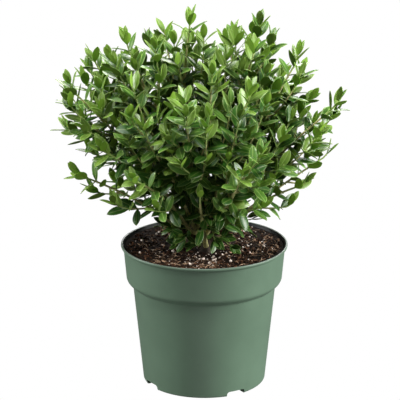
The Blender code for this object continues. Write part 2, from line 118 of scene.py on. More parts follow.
# Main stem and boughs: the same named sizes as their solids.
STEM_BASE = Vector((2.0 * MM, 0.0, SOIL_TOP + GAP))
STEM_TOP = Vector((-3.5 * MM, -1.0 * MM, SOIL_TOP + 27.0 * MM))
STEM_BASE_RADIUS = 4.6 * MM
STEM_TOP_RADIUS = 3.5 * MM
STEM_FLARE = 2.6 * MM
STEM_FLARE_FADE = 5.0 * MM
STEM_RINGS = 9
BOUGH_RINGS = 5
MAIN_BOUGH_RADII = (2.7 * MM, 1.8 * MM)
SIDE_BOUGH_RADII = (2.0 * MM, 1.6 * MM)
UPRIGHT_BOUGH_REACH = 50.0 * MM
LOW_BOUGH_REACH = 35.0 * MM
LOW_LEAN = math.radians(62.0)
BOUGH_SPREAD = 0.35
BOUGH_LIFT = 0.25
BEND_AT = 0.45

# Relief of the bark, in shares of the limb's radius.
BARK_STEP = 1.1 * MM
RIDGES_ROUND = 4.2
RIDGE_LONG = 5.5 * MM
RIDGE_SHARE = 0.075
CRUMB_SIZE = 1.1 * MM
CRUMB_SHARE = 0.045
KNOTS_APART = 6.3 * MM
KNOT_WIDE = 0.09
KNOT_SHARE = 0.05
FOOT_LOBES = 5
LOBE_SHARE = 0.10
LOBE_FADE = 6.0 * MM

# Crown: name, azimuth and lean in degrees, reach in mm, the bough that carries it, and its
# fork, as a height on the main stem in mm or as a share of the carrying bough.
HEART = Vector((0.0, 0.0, SOIL_TOP + 12.0 * MM))
LEADERS = (
    ("crown", -142, 5, 238, "main_stem", 27),
    ("top_left", 153, 12, 226, "crown", 0.30),
    ("top_right", -10, 14, 239, "crown", 0.45),
    ("back_high", 73, 23, 214, "crown", 0.60),
    ("left_upper", 168, 32, 224, "main_stem", 25),
    ("left_top", -161, 21, 236, "left_upper", 0.40),
    ("left_mid", 172, 51, 196, "main_stem", 11),
    ("left_high", -167, 39, 225, "left_mid", 0.50),
    ("left_low", -168, 59, 168, "left_mid", 0.35),
    ("right_high", -8, 42, 209, "main_stem", 14),
    ("right_top", 9, 27, 219, "right_high", 0.50),
    ("right_mid", 14, 58, 170, "right_high", 0.40),
    ("right_low", -14, 57, 141, "right_high", 0.25),
    ("front_left", -131, 36, 195, "main_stem", 17),
    ("front_mid", -102, 30, 204, "front_left", 0.45),
    ("front_low_left", -128, 51, 158, "front_left", 0.35),
    ("front_right", -60, 27, 203, "main_stem", 20),
    ("front_high", -82, 16, 201, "front_right", 0.50),
    ("front_low_right", -61, 44, 172, "front_right", 0.30),
    ("front_low", -93, 50, 126, "main_stem", 8),
    ("back_left", 132, 42, 210, "main_stem", 18),
    ("back_low_left", 142, 60, 152, "back_left", 0.40),
    ("back_right", 52, 42, 205, "main_stem", 8),
    ("back_mid", 92, 50, 185, "back_right", 0.45),
    ("back_low_right", 45, 60, 152, "back_right", 0.35),
)
SIDES_OF_CROWN = ("top", "left", "right", "front", "back")

# Growth rule of the solids.
GOLDEN_TURN = math.radians(137.5)
CELL_MARGIN = 0.3 * MM
LIMB_MARGIN = 1.2 * MM
LIMBS_WITHIN = 80.0 * MM
GROUND_CLEAR = 2.0 * MM
RIM_SLOPE_FROM = 58.0 * MM
RIM_SLOPE = 1.0
LEADER_SHORT = 24.65 * MM
LEADER_RADII = (1.6 * MM, 0.8 * MM)
SHOOT_RADII = (1.0 * MM, 0.55 * MM)
SHOOT_FIRST = 12.0 * MM
SHOOT_SPACING = 16.0 * MM
SHOOT_LAST = 9.6 * MM
SHOOT_VARIES = (0.85, 1.15)
SHOOT_LEAST = 8.0 * MM
SHOOT_ANGLE = math.radians(46.0)
SHOOT_SHARE = 0.36
SHOOT_EXTRA = 13.0 * MM
SHOOT_FOLLOW = 0.35
SHOOT_RISE = 0.25
TUFT_BEYOND = 17.4 * MM
SEED = 2299

# Finer growth: what the dressed shrub has beyond its solids.
LEADER_ON = (12.0 * MM, 5.0 * MM)
SHOOT_ON = 8.0 * MM
UNBRANCHED_TIP = 42.0 * MM
TIPS_APART = 19.5 * MM
SIDE_TIPS_APART = (18.0 * MM, 26.0 * MM)
RISER_FROM = 0.08
RISER_STEP = 9.0 * MM
RISER_ANGLE = math.radians(32.0)
RISER_KEEP = 0.4
RISER_FOLLOW = 1.4
RISER_RISE = 0.9
RISER_SHORT = 5.0 * MM
RISER_LONG = 110.0 * MM
RISER_SLACK = 8.0 * MM
EDGE_DIP = 2.8
LOW_DIP = 3.8
DIP_WITHIN = 0.3
RIGHT_SLOPE = 0.7
RIGHT_RISE = 20.0 * MM
SIDE_SHOOT_RADII = (0.7 * MM, 0.45 * MM)
SIDE_SHOOT_STEP = 13.0 * MM
SIDE_SHOOT_SHARE = 0.6
SIDE_SHOOT_LEAST = 11.0 * MM
SPARSE_LEAN = 50
CROWN_BOX = 12.0 * MM
TIP_RISE = 0.8
CELL_SLACK = 6.0 * MM
SPROUT_SHARES = (0.08, 0.28, 0.5, 0.72, 0.94)
SPROUT_LONG = (14.0 * MM, 28.0 * MM)
SPROUT_ANGLE = math.radians(62.0)
SPROUT_SLACK = 100.0 * MM
SPROUT_LEAF = 0.82
TWIG_SIDES = 6

# Pairs of leaves from the tip of a twig down: how far back in mm, the size, the lean in degrees.
YOUNG_PAIRS = ((0.6, 0.72, 14.0), (5.2, 0.88, 31.0), (12.5, 0.98, 41.0))
OLD_LEAN = 57.0
OLD_AT = 45.0 * MM
PAIR_TURN = math.pi / 2
TURN_VARIES = (-0.25, 0.25)
PAIR_APART = 1.2 * MM
BARE_SHARE = 0.16
BARE_FEET = (7.0 * MM, 4.0 * MM)
LEAN_VARIES = (-6.0, 8.0)
LONG_VARIES = (0.86, 1.08)
WIDE_VARIES = (0.92, 1.1)
CURLED_AT = 34.0 * MM
LEAF_SWINGS = (0.0, 0.5, -0.5, 1.0)
THIN_BELOW = 95.0 * MM
THIN_LEAST = 0.25
FOOT_WITHIN = 36.0 * MM
FOOT_MORE = 0.45
HOLLOW_SHARE = 0.5

# Tones of the leaves: 0 deep, 1 mid, 2 bright, 3 fresh.
TONE_ENDS = (0.30, 0.76)
TONE_STEPS = (0.3, 0.55, 0.15)
YOUNG_TO = 7.0 * MM
GROWN_TO = 26.0 * MM
FRESH_SHARES = (0.2, 0.1)
# Painted shade: leaves below this height (higher towards the back of the crown), within these
# shares of the reach from the heart, and on the sprouts take the deep tone. Painted light: the
# masses that lean out to the sides and low take lighter tones, and outer leaves away from the
# front stay out of the deep tone.
PAINTED_SHADE_BELOW = SOIL_TOP + 68.0 * MM
PAINTED_SHADE_VARIES = (0.0, 40.0 * MM)
PAINTED_BACK_SHADE = 0.4
PAINTED_SHADE_WITHIN = (0.32, 0.50)
PAINTED_SIDE_LIGHT = 0.7
OUTER_FROM = 0.78
FRONT_FROM = -0.25


def colour(name, description, default):
    return bpy.props.FloatVectorProperty(
        name=name, description=description, default=default, min=0.0, max=1.0, subtype="COLOR"
    )


def length(name, description, default, low, high):
    return bpy.props.FloatProperty(
        name=name, description=description, default=default, min=low, max=high,
        unit="LENGTH", subtype="DISTANCE",
    )


def power(name, description, default):
    return bpy.props.FloatProperty(
        name=name, description=description, default=default, min=0.0, max=1000.0, unit="POWER"
    )


class ShrubSettings(bpy.types.PropertyGroup):
    """Sizes and colours of the plant."""

    leaf_length: length(
        "Leaf Length", "Length of a full-grown leaf's blade", 21.6 * MM, 5 * MM, 40 * MM
    )
    leaf_width: bpy.props.FloatProperty(
        name="Leaf Width", description="Width of a leaf as a share of its length",
        default=0.44, min=0.2, max=0.8, subtype="FACTOR",
    )
    pair_spacing: length(
        "Pair Spacing", "Distance between two pairs of leaves on a twig", 11 * MM, 4 * MM, 20 * MM
    )
    # The deep tone is also painted shade on leaves low, at the back and deep in the crown, and on
    # the sprouts.
    deep_green: colour("Deep Leaves", "Upper side of old, shaded leaves", (0.018, 0.068, 0.005))
    mid_green: colour("Leaves", "Upper side of most leaves", (0.060, 0.142, 0.018))
    # The bright tone is also painted light on the masses that lean out to the sides.
    bright_green: colour(
        "Bright Leaves", "Upper side of this year's leaves", (0.114, 0.197, 0.028)
    )
    fresh_green: colour("Fresh Leaves", "Newest leaves at the tips", (0.130, 0.224, 0.025))
    underside_green: colour("Undersides", "Dull underside of every leaf", (0.160, 0.285, 0.026))
    # The pale margins are partly the leaf's own edge and partly a painted highlight on it.
    rib_green: colour(
        "Ribs and Margins", "Pale midrib, margin and stalk of every leaf", (0.210, 0.315, 0.075)
    )
    # The stem and the boughs behind the front take darker shares of the old bark, a painted
    # shade.
    old_bark: colour("Old Bark", "Main stem and boughs", (0.120, 0.082, 0.050))
    young_bark: colour("Young Bark", "Twigs of last year", (0.370, 0.355, 0.145))
    green_bark: colour("Green Bark", "Growing ends of the shoots", (0.275, 0.355, 0.105))


class PotSettings(bpy.types.PropertyGroup):
    """Colours of the pot and of the potting soil in it."""

    pot_green: colour("Pot", "Moulded plastic of the pot", (0.088, 0.142, 0.096))
    # The lip is darker and greyer than the pot's plastic: painted shade against the light on the
    # pot's top edge.
    lip_green_painted_shade: colour("Lip", "Thin edge at the top of the pot", (0.084, 0.114, 0.086))
    inside_green: colour("Inside of Pot", "Dark inside of the wall", (0.005, 0.008, 0.006))
    soil_brown: colour("Soil", "Damp peat between the bark", (0.013, 0.008, 0.005))
    bark_chip: colour("Bark Chips", "Composted bark in the soil", (0.078, 0.036, 0.018))
    pale_chip: colour("Pale Chips", "Fresh bark in the soil", (0.29, 0.185, 0.115))
    root_fibre: colour("Fibres", "Root fibres in the soil", (0.42, 0.29, 0.19))
    perlite: colour("Perlite", "White mineral grains in the soil", (0.700, 0.600, 0.520))


class StudioSettings(bpy.types.PropertyGroup):
    """Lights and camera of the studio."""

    key_power: power("Key Light", "Power of the soft light on the right", 89.0)
    side_power: power("Side Light", "Power of the soft light on the left", 43.0)
    top_power: power("Top Light", "Power of the soft light overhead", 50.0)
    back_power: power("Back Light", "Power of the soft light behind", 38.0)
    low_power: power("Low Light", "Power of the soft light low in front", 5.4)
    surround: bpy.props.FloatProperty(
        name="Surround", description="Light from all round in the studio",
        default=0.10, min=0.0, max=5.0,
    )
    camera_distance: length(
        "Camera Distance", "Distance from the camera to the shrub", 2.0, 0.3, 10.0
    )


# Materials ---


class Wire:
    """A socket of a finish, on which sums are written as Python expressions."""

    def __init__(self, finish, socket):
        self.finish = finish
        self.socket = socket

    def sum(self, operation, *values):
        kind = "ShaderNodeMath"
        if self.socket.type == "VECTOR":
            kind = "ShaderNodeVectorMath"
            values = [(part,) * 3 if isinstance(part, (int, float)) else part for part in values]
        return self.finish.node(kind, {"operation": operation}, *values)

    def __add__(self, other):
        return self.sum("ADD", self, other)

    __radd__ = __add__

    def __sub__(self, other):
        return self.sum("SUBTRACT", self, other)

    def __rsub__(self, other):
        return self.sum("SUBTRACT", other, self)

    def __mul__(self, other):
        return self.sum("MULTIPLY", self, other)

    __rmul__ = __mul__

    def between(self, low, high):
        """The value spread so that low gives 0 and high gives 1, and held there."""
        settings = {"interpolation_type": "SMOOTHSTEP"}
        return self.finish.node("ShaderNodeMapRange", settings, self, low, high, 0.0, 1.0)

    def mix(self, low, high):
        """The colour low where the value is 0, and high where it is 1."""
        settings = {"data_type": "RGBA", "clamp_factor": True}
        return self.finish.node("ShaderNodeMix", settings, Factor=self, A=low, B=high)


class Finish:
    """A material, with the nodes that vary it over a surface."""

    def __init__(self, name, colour, roughness, specular=0.5):
        self.material = bpy.data.materials.new(name)
        self.material.use_nodes = True
        self.tree = self.material.node_tree
        self.shader = self.tree.nodes["Principled BSDF"]
        self.set("Base Color", (*colour, 1.0))
        self.set("Roughness", roughness)
        self.set("Specular IOR Level", specular)
        self.colour = colour

    def set(self, name, value):
        """A constant on the shader's own socket, or a link into it."""
        self.plug(self.shader.inputs[name], value)

    def plug(self, socket, value):
        if isinstance(value, Wire):
            self.tree.links.new(value.socket, socket)
        elif socket.type == "RGBA" and len(value) == 3:
            socket.default_value = (*value, 1.0)
        else:
            socket.default_value = value

    def node(self, kind, settings, *values, out=0, **named):
        """A node with its settings, then the values or links of its sockets."""
        made = self.tree.nodes.new(kind)
        for name, value in settings.items():
            setattr(made, name, value)
        for index, value in enumerate(values):
            self.plug(made.inputs[index], value)
        for name, value in named.items():
            live = [socket for socket in made.inputs if socket.name == name and socket.enabled]
            self.plug(live[0], value)
        outputs = [socket for socket in made.outputs if socket.enabled]
        return Wire(self, outputs[out])

    def speckle(self, scale, detail=3.0, roughness=0.55, stretch=None):
        """Noise from 0 to 1 with about scale spots to the metre."""
        place = self.node("ShaderNodeTexCoord", {}, out=3)
        if stretch:
            place = place * stretch
        settings = {"noise_dimensions": "3D"}
        return self.node(
            "ShaderNodeTexNoise", settings, Vector=place, Scale=scale, Detail=detail,
            Roughness=roughness,
        )

    def relief(self, height, depth, strength=1.0):
        """Turns a height from 0 to 1 into bumps as deep as depth."""
        bump = self.node("ShaderNodeBump", {}, Strength=strength, Distance=depth, Height=height)
        self.set("Normal", bump)


def shade_of(colour, share):
    """The colour, darker or lighter by a share."""
    return tuple(min(part * share, 1.0) for part in colour)


def leaf_finish(name, colour, roughness, glow, specular=0.4):
    finish = Finish(name, colour, roughness, specular)
    finish.set("Subsurface Weight", glow)
    finish.set("Subsurface Radius", (0.6, 1.0, 0.25))
    finish.set("Subsurface Scale", 1.2 * MM)
    finish.relief(finish.speckle(900.0, 2.0), 0.12 * MM, 0.5)
    return finish.material


def grainy_finish(name, colour, gloss, grain, spread, shades, relief):
    """A material whose colour and relief follow one noise."""
    finish = Finish(name, colour, *gloss)
    noise_wire = finish.speckle(*grain)
    dark, pale = (shade_of(colour, share) for share in shades)
    finish.set("Base Color", noise_wire.between(*spread).mix(dark, pale))
    finish.relief(noise_wire, *relief)
    return finish.material


def wood_finish(name, colour, roughness, scale):
    grain = (scale, 5.0, 0.65)
    relief = (0.5 * MM, 0.9)
    return grainy_finish(name, colour, (roughness, 0.3), grain, (0.3, 0.72), (0.55, 1.5), relief)


def soil_finish(colour):
    grain = (420.0, 6.0, 0.7)
    relief = (1.2 * MM, 1.0)
    return grainy_finish("peat", colour, (0.95, 0.08), grain, (0.35, 0.75), (0.5, 2.2), relief)


def perlite_finish(colour):
    grain = (1300.0, 4.0, 0.6)
    relief = (0.35 * MM, 0.8)
    return grainy_finish("perlite", colour, (0.85, 0.3), grain, (0.3, 0.6), (0.55, 1.0), relief)


def pot_finish(name, colour, specular=0.45):
    finish = Finish(name, colour, 0.42, specular)
    cloud = finish.speckle(22.0, 4.0, 0.6)
    scuff = finish.speckle(160.0, 6.0, 0.7, (1.0, 1.0, 0.35))
    tone = cloud.between(0.3, 0.7).mix(shade_of(colour, 0.94), shade_of(colour, 1.06))
    dusty = scuff.between(0.60, 0.85) * 0.16
    finish.set("Base Color", dusty.mix(tone, shade_of(colour, 2.2)))
    finish.set("Roughness", 0.36 + 0.14 * cloud)
    finish.relief(finish.speckle(1500.0, 2.0), 0.05 * MM, 0.35)
    return finish.material


def chip_finish(name, colour):
    finish = Finish(name, colour, 0.85, 0.1)
    fibre = finish.speckle(700.0, 4.0, 0.6)
    patch = finish.speckle(120.0, 2.0, 0.5)
    tone = patch.between(0.35, 0.65).mix(shade_of(colour, 0.45), shade_of(colour, 1.5))
    finish.set("Base Color", fibre.between(0.4, 0.7).mix(tone, shade_of(colour, 0.35)))
    finish.relief(fibre, 0.4 * MM, 0.8)
    return finish.material


# Meshes ---


def in_scene(name, data):
    """An object with its mesh, light or camera, in the scene."""
    made = bpy.data.objects.new(name, data)
    bpy.context.scene.collection.objects.link(made)
    return made


def add_piece(name, points, faces, finishes, kinds, replaced, sharp):
    """A piece of the object that rides on its body and stands for some of its solids."""
    mesh = bpy.data.meshes.new(name)
    mesh.from_pydata(points, [], faces)
    for finish in finishes:
        mesh.materials.append(finish)
    mesh.polygons.foreach_set("material_index", kinds)
    mesh.shade_smooth()
    mesh.set_sharp_from_angle(angle=math.radians(sharp))
    mesh.update()
    dress(in_scene(name, mesh), replaced)


def dress(piece, replaced):
    """Tells what a piece rides on and which solids it stands for."""
    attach(piece, BODY)
    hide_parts(*replaced)


class Joined:
    """Many small closed shapes gathered into one mesh."""

    def __init__(self):
        self.points = []
        self.faces = []
        self.kinds = []

    def add(self, points, faces, kinds=0):
        """Adds a shape, with the finish of each face or of them all."""
        first = len(self.points)
        self.points += points
        self.faces += [[first + corner for corner in face] for face in faces]
        self.kinds += kinds if isinstance(kinds, list) else [kinds] * len(faces)

    def piece(self, name, finishes, slot, replaced, sharp=50.0):
        points, faces = self.points, self.faces
        add_piece(name, points, faces, finishes, self.kinds, replaced, sharp)


def polar(radius, turn):
    """The (x, y) at a turn round a circle."""
    return radius * math.cos(turn), radius * math.sin(turn)


def circle(radius, steps):
    return [polar(radius, math.tau * step / steps) for step in range(steps)]


def band(low, high, count):
    """The four-cornered faces between two rings of points that start at low and at high."""
    faces = []
    for corner in range(count):
        after = (corner + 1) % count
        faces.append([low + corner, low + after, high + after, high + corner])
    return faces


def clamp(value):
    return min(max(value, 0.0), 1.0)


def turned(profile, steps):
    """A solid of revolution about Z, from (radius, height) pairs that start and end on it."""
    bm = bmesh.new()
    verts = [bm.verts.new((radius, 0.0, height)) for radius, height in profile]
    edges = [bm.edges.new(pair) for pair in zip(verts, verts[1:])]
    bmesh.ops.spin(
        bm, geom=verts + edges, cent=(0.0, 0.0, 0.0), axis=(0.0, 0.0, 1.0),
        angle=math.tau, steps=steps, use_merge=True,
    )
    bmesh.ops.remove_doubles(bm, verts=bm.verts, dist=0.001 * MM)
    return bm


def loose_object(name, bm):
    """An object with the bmesh's faces turned outwards."""
    bmesh.ops.recalc_face_normals(bm, faces=bm.faces)
    mesh = bpy.data.meshes.new(name)
    bm.to_mesh(mesh)
    bm.free()
    return in_scene(name, mesh)


def combine(target, operation, tool):
    """Combines a tool with the target by a Boolean and removes the tool."""
    modifier = target.modifiers.new("combine", "BOOLEAN")
    modifier.operation = operation
    modifier.object = tool
    modifier.solver = "EXACT"
    bpy.context.view_layer.update()
    graph = bpy.context.evaluated_depsgraph_get()
    result = bpy.data.meshes.new_from_object(target.evaluated_get(graph))
    target.modifiers.remove(modifier)
    target.data = result
    bpy.data.objects.remove(tool, do_unlink=True)


# Pot ---


def rounded(corners, radius, steps=4):
    """The profile with each inner corner rounded off."""
    made = [corners[0]]
    for before, corner, after in zip(corners, corners[1:], corners[2:]):
        here, back, on = (Vector(point) for point in (corner, before, after))
        size = min(radius, (back - here).length * 0.45, (on - here).length * 0.45)
        start = here + size * (back - here).normalized()
        end = here + size * (on - here).normalized()
        for step in range(steps + 1):
            share = step / steps
            point = start * (1 - share) ** 2 + here * 2 * share * (1 - share) + end * share ** 2
            made.append(tuple(point))
    return made + [corners[-1]]


def pot_side():
    """(radius, height) pairs up the pot's outer side, from its foot to below the lip."""
    band_foot = POT_HEIGHT - BAND_TALL
    shoulder_radius = BAND_FOOT_RADIUS - SHOULDER_IN
    return [
        (BASE_RADIUS - EDGE, 0.0),
        (BASE_RADIUS, EDGE),
        (shoulder_radius, band_foot - SHOULDER_TALL),
        (BAND_FOOT_RADIUS - EDGE, band_foot),
        (BAND_FOOT_RADIUS, band_foot + 2 * EDGE),
        (RIM_RADIUS - LIP_OUT, INNER_TOP),
    ]


def pot_radius(height):
    """The pot's outer radius at a height below its lip."""
    side = pot_side()
    for (low_radius, low), (high_radius, high) in zip(side, side[1:]):
        if height <= high:
            share = (height - low) / (high - low)
            return low_radius + share * (high_radius - low_radius)
    return side[-1][0]


def arch_block(azimuth, grow):
    """A block with a round-cornered top that runs outwards through the foot of the pot."""
    half = ARCH_WIDE / 2 + grow
    top = ARCH_TALL + grow
    corner = ARCH_CORNER + grow
    outline = [(-half, -5 * MM), (half, -5 * MM)]
    for side, start in ((1, 0), (-1, 90)):
        for step in range(7):
            turn = math.radians(start + 15 * step)
            aside = side * (half - corner) + corner * math.cos(turn)
            outline.append((aside, top - corner + corner * math.sin(turn)))
    near = BASE_RADIUS - ARCH_DEEP - grow
    far = BASE_RADIUS + 10 * MM
    bm = bmesh.new()
    face = bm.faces.new([bm.verts.new((near, aside, height)) for aside, height in outline])
    grown = bmesh.ops.extrude_face_region(bm, geom=[face])["geom"]
    moved = [item for item in grown if isinstance(item, bmesh.types.BMVert)]
    bmesh.ops.translate(bm, verts=moved, vec=(far - near, 0.0, 0.0))
    bmesh.ops.rotate(bm, verts=bm.verts, matrix=Matrix.Rotation(azimuth, 3, "Z"))
    return loose_object("arch", bm)


def drain_hole(azimuth):
    """An upright cylinder through the roof of one arch."""
    bm = bmesh.new()
    bmesh.ops.create_cone(
        bm, cap_ends=True, segments=24, radius1=DRAIN_HOLE_RADIUS,
        radius2=DRAIN_HOLE_RADIUS, depth=4 * WALL,
    )
    place = (*polar(BASE_RADIUS - ARCH_DEEP / 2, azimuth), ARCH_TALL + WALL / 2)
    bmesh.ops.translate(bm, verts=bm.verts, vec=place)
    return loose_object("drain_hole", bm)


def build_pot(settings):
    """The pot as a fine turned shell, with its arches and drain holes cut."""
    lip = [
        (RIM_RADIUS - LIP_OUT + 0.6 * MM, INNER_TOP + 0.8 * MM),
        (RIM_RADIUS, POT_HEIGHT - 2.4 * MM),
        (RIM_RADIUS, POT_HEIGHT),
        (RIM_RADIUS - 0.5 * MM - WALL, POT_HEIGHT),
    ]
    inside = [height for _, height in pot_side() if FLOOR < height < INNER_TOP]
    heights = [INNER_TOP] + inside[::-1] + [FLOOR]
    hollow = [(pot_radius(height) - WALL, height) for height in heights]
    profile = [(0.0, 0.0)] + pot_side() + lip + hollow + [(0.0, FLOOR)]
    pot = loose_object("pot_shell", turned(rounded(profile, 1.5 * MM), POT_STEPS))
    turns = [ARCH_AZIMUTH + math.tau * index / ARCH_COUNT for index in range(ARCH_COUNT)]
    for turn in turns:
        roof = arch_block(turn, WALL)
        combine(roof, "INTERSECT", loose_object("within", turned(ROOF_LIMIT, POT_STEPS)))
        combine(pot, "UNION", roof)
    for tool in [arch_block(turn, 0.0) for turn in turns] + [drain_hole(turn) for turn in turns]:
        combine(pot, "DIFFERENCE", tool)
    pot.data.materials.clear()
    pot.data.materials.append(pot_finish("pot_plastic", settings.pot_green))
    pot.data.materials.append(pot_finish("pot_inside", settings.inside_green, 0.15))
    # The lip gets its own darker colour, a painted shade on the top edge.
    pot.data.materials.append(pot_finish("pot_lip", settings.lip_green_painted_shade))
    for face in pot.data.polygons:
        out, height = face.center.xy, face.center.z
        inwards = face.normal.xy.dot(out) < 0 or face.normal.z > 0.5
        deep = pot_radius(min(height, INNER_TOP)) - out.length > 0.8 * WALL
        inside = inwards and (deep or height > INNER_TOP) and height > FLOOR / 2
        face.material_index = 2 if height > POT_HEIGHT - 0.5 * MM else 1 if inside else 0
    pot.data.shade_smooth()
    pot.data.set_sharp_from_angle(angle=math.radians(40))
    dress(pot, ["pot"])


# Potting soil ---


def soil_bump(x, y):
    """The rise of the soil's top at a point: a few crossed waves, about a bark chip high."""
    waves = (
        math.sin(x / (7.1 * MM) + 0.4) * math.cos(y / (8.3 * MM))
        + 0.6 * math.sin((x + y) / (4.7 * MM) + 1.9)
        + 0.5 * math.cos((x - 1.7 * y) / (5.9 * MM))
    )
    return SOIL_BUMP * waves / 2


def soil_edge():
    """Radius of the soil's top where it meets the pot."""
    return pot_radius(SOIL_TOP + SOIL_EDGE_RISE) - WALL - GAP


def soil_height(x, y):
    """Height of the soil's top at a point, with its crumbs."""
    edge = soil_edge()
    radius = math.hypot(x, y)
    share = clamp((edge - radius) / (edge - STEM_SEAT_RADIUS))
    height = SOIL_TOP + SOIL_EDGE_RISE * (1 - share) ** 2
    waves = clamp((radius - STEM_SEAT_RADIUS) / (6 * MM)) * clamp((edge - radius) / (3 * MM))
    place = Vector((x, y, 0.0))
    crumbs = 1.1 * MM * noise.fractal(place / (5.0 * MM), 0.7, 2.2, 4)
    return height + waves * (soil_bump(x, y) * 0.8 + crumbs)


def build_soil(settings):
    """The peat: a plug whose top is a fine net of crumbs."""
    points, faces = [], []
    for ring in range(SOIL_RINGS):
        radius = soil_edge() * (1 - ring / SOIL_RINGS)
        points += [(x, y, soil_height(x, y)) for x, y in circle(radius, SOIL_STEPS)]
    top, foot = len(points), len(points) + 1
    last = top - SOIL_STEPS
    for low in range(0, last, SOIL_STEPS):
        faces += band(low, low + SOIL_STEPS, SOIL_STEPS)
    faces += [(last + step, last + (step + 1) % SOIL_STEPS, top) for step in range(SOIL_STEPS)]
    faces += band(foot, 0, SOIL_STEPS)
    faces.append([foot + step for step in reversed(range(SOIL_STEPS))])
    points.append((0.0, 0.0, SOIL_TOP))
    foot_radius = pot_radius(SOIL_FOOT) - WALL - GAP
    points += [(x, y, SOIL_FOOT) for x, y in circle(foot_radius, SOIL_STEPS)]
    peat = Joined()
    peat.add(points, faces)
    soil_piece(peat, "peat", [soil_finish(settings.soil_brown)], 80.0)


def soil_piece(shapes, name, finishes, sharp=50.0):
    """One of the pieces that stand for the potting soil."""
    shapes.piece(name, finishes, "potting_soil", ["potting_soil"], sharp)


def tumbled(turn, tip, roll):
    """The rotation about Z, X and Y in turn."""
    turned_flat = Matrix.Rotation(turn, 3, "Z") @ Matrix.Rotation(tip, 3, "X")
    return turned_flat @ Matrix.Rotation(roll, 3, "Y")


def lump(chance, size, shape):
    """An uneven grain: points and faces of a small ball, pulled about."""
    bm = bmesh.new()
    bmesh.ops.create_icosphere(bm, subdivisions=1, radius=0.5)
    seed = Vector([chance.uniform(-50.0, 50.0) for _ in range(3)])
    tilt = (-0.5, 0.5)
    turn = tumbled(chance.uniform(0.0, math.tau), chance.uniform(*tilt), chance.uniform(*tilt))
    points = []
    for vert in bm.verts:
        out = vert.co * (1.0 + 0.55 * noise.noise(vert.co * 3.0 + seed))
        points.append(turn @ Vector([part * width * size for part, width in zip(out, shape)]))
    faces = [[vert.index for vert in face.verts] for face in bm.faces]
    bm.free()
    return points, faces


def scatter(chance, count, nearest, furthest, where=None):
    """Places on the soil: (x, y), more of them where the density is high."""
    places = []
    while len(places) < count:
        radius = math.sqrt(chance.uniform(nearest ** 2, furthest ** 2))
        x, y = polar(radius, chance.uniform(0.0, math.tau))
        if where is None or chance.random() < where(x, y):
            places.append((x, y))
    return places


def chip_shape(chance):
    """A flat, splintered chip with a frayed outline: points and faces."""
    count = chance.choice((5, 6, 7))
    long, wide, thick = (chance.uniform(*size) for size in CHIP_SIZES)
    outline = []
    for index in range(count):
        turn = math.tau * index / count + chance.uniform(-0.25, 0.25)
        reach = chance.uniform(0.75, 1.15)
        outline.append((0.5 * long * reach * math.cos(turn), 0.5 * wide * reach * math.sin(turn)))
    top = [Vector((x, y, 0.5 * thick * chance.uniform(0.5, 1.2))) for x, y in outline]
    low = [Vector((x * 0.9, y * 0.9, -0.5 * thick)) for x, y in outline]
    middle = Vector((0.0, 0.0, 0.5 * thick * chance.uniform(0.9, 1.6)))
    points = [point * MM for point in top + low + [middle]]
    faces = [[2 * count, index, (index + 1) % count] for index in range(count)]
    for index in range(count):
        after = (index + 1) % count
        faces.append([after, index, count + index, count + after])
    faces.append([count + index for index in reversed(range(count))])
    return points, faces


def perlite_density(x, y):
    """How likely perlite is at a point of the soil."""
    drifts = []
    for middle, front, spread, share in PERLITE_DRIFTS:
        square = (x - middle * MM) ** 2 + (y - front * MM) ** 2
        drifts.append(share * math.exp(-square / (spread * MM) ** 2))
    return PERLITE_LEAST + max(drifts)


def build_litter(settings):
    """Bark chips, perlite grains and root fibres that lie in the top of the soil."""
    chance = random.Random(SEED)
    edge = soil_edge() - LITTER_CLEAR
    chips = Joined()
    for x, y in scatter(chance, CHIP_COUNT, 6 * MM, edge):
        points, faces = chip_shape(chance)
        size = chance.uniform(*CHIP_SCALES)
        turn = tumbled(
            chance.uniform(0.0, math.tau), chance.gauss(0.0, 0.5), chance.gauss(0.0, 0.4)
        )
        centre = Vector((x, y, soil_height(x, y) + chance.uniform(*CHIP_RISES) * MM))
        placed = [centre + size * (turn @ point) for point in points]
        if max(point.xy.length for point in placed) > edge + 2 * MM:
            continue
        light = 0.04 + 0.26 * clamp((x + 0.8 * y) / edge)
        kind = chance.choices((0, 1, 2), (0.56 - light, 0.44, light))[0]
        chips.add(placed, faces, kind)
    brown = settings.bark_chip
    finishes = [
        chip_finish("bark_chip_dark", shade_of(brown, 0.3)),
        chip_finish("bark_chip_brown", brown),
        chip_finish("bark_chip_tan", settings.pale_chip),
    ]
    soil_piece(chips, "bark_chips", finishes, 30.0)

    grains = Joined()
    for x, y in scatter(chance, GRAIN_COUNT, 8 * MM, edge, perlite_density):
        size = min(chance.lognormvariate(0.25, 0.5), GRAIN_LARGEST) * MM
        points, faces = lump(chance, size, (1.0, chance.uniform(0.7, 1.0), 0.75))
        centre = Vector((x, y, soil_height(x, y) + 0.35 * size))
        grains.add([centre + point for point in points], faces)
    soil_piece(grains, "perlite_grains", [perlite_finish(settings.perlite)])

    fibres = Joined()
    for x, y in scatter(chance, FIBRE_COUNT, 10 * MM, edge - 4 * MM):
        turn = chance.uniform(0.0, math.tau)
        stride = chance.uniform(*FIBRE_LONG) * MM / FIBRE_STEPS
        curl = chance.uniform(*FIBRE_CURL) / FIBRE_STEPS
        line, spot = [], Vector((x, y))
        for step in range(FIBRE_STEPS + 1):
            arch = 0.5 + 0.9 * math.sin(math.pi * step / FIBRE_STEPS)
            line.append(Vector((spot.x, spot.y, soil_height(spot.x, spot.y) + arch * MM)))
            turn += curl
            spot = spot + stride * Vector(polar(1.0, turn))
        if max(point.xy.length for point in line) < edge:
            fibres.add(*tube(line, [FIBRE_RADIUS] * len(line), 4))
    soil_piece(fibres, "root_fibres", [chip_finish("root_fibre", settings.root_fibre)])


# Routes and limbs ---


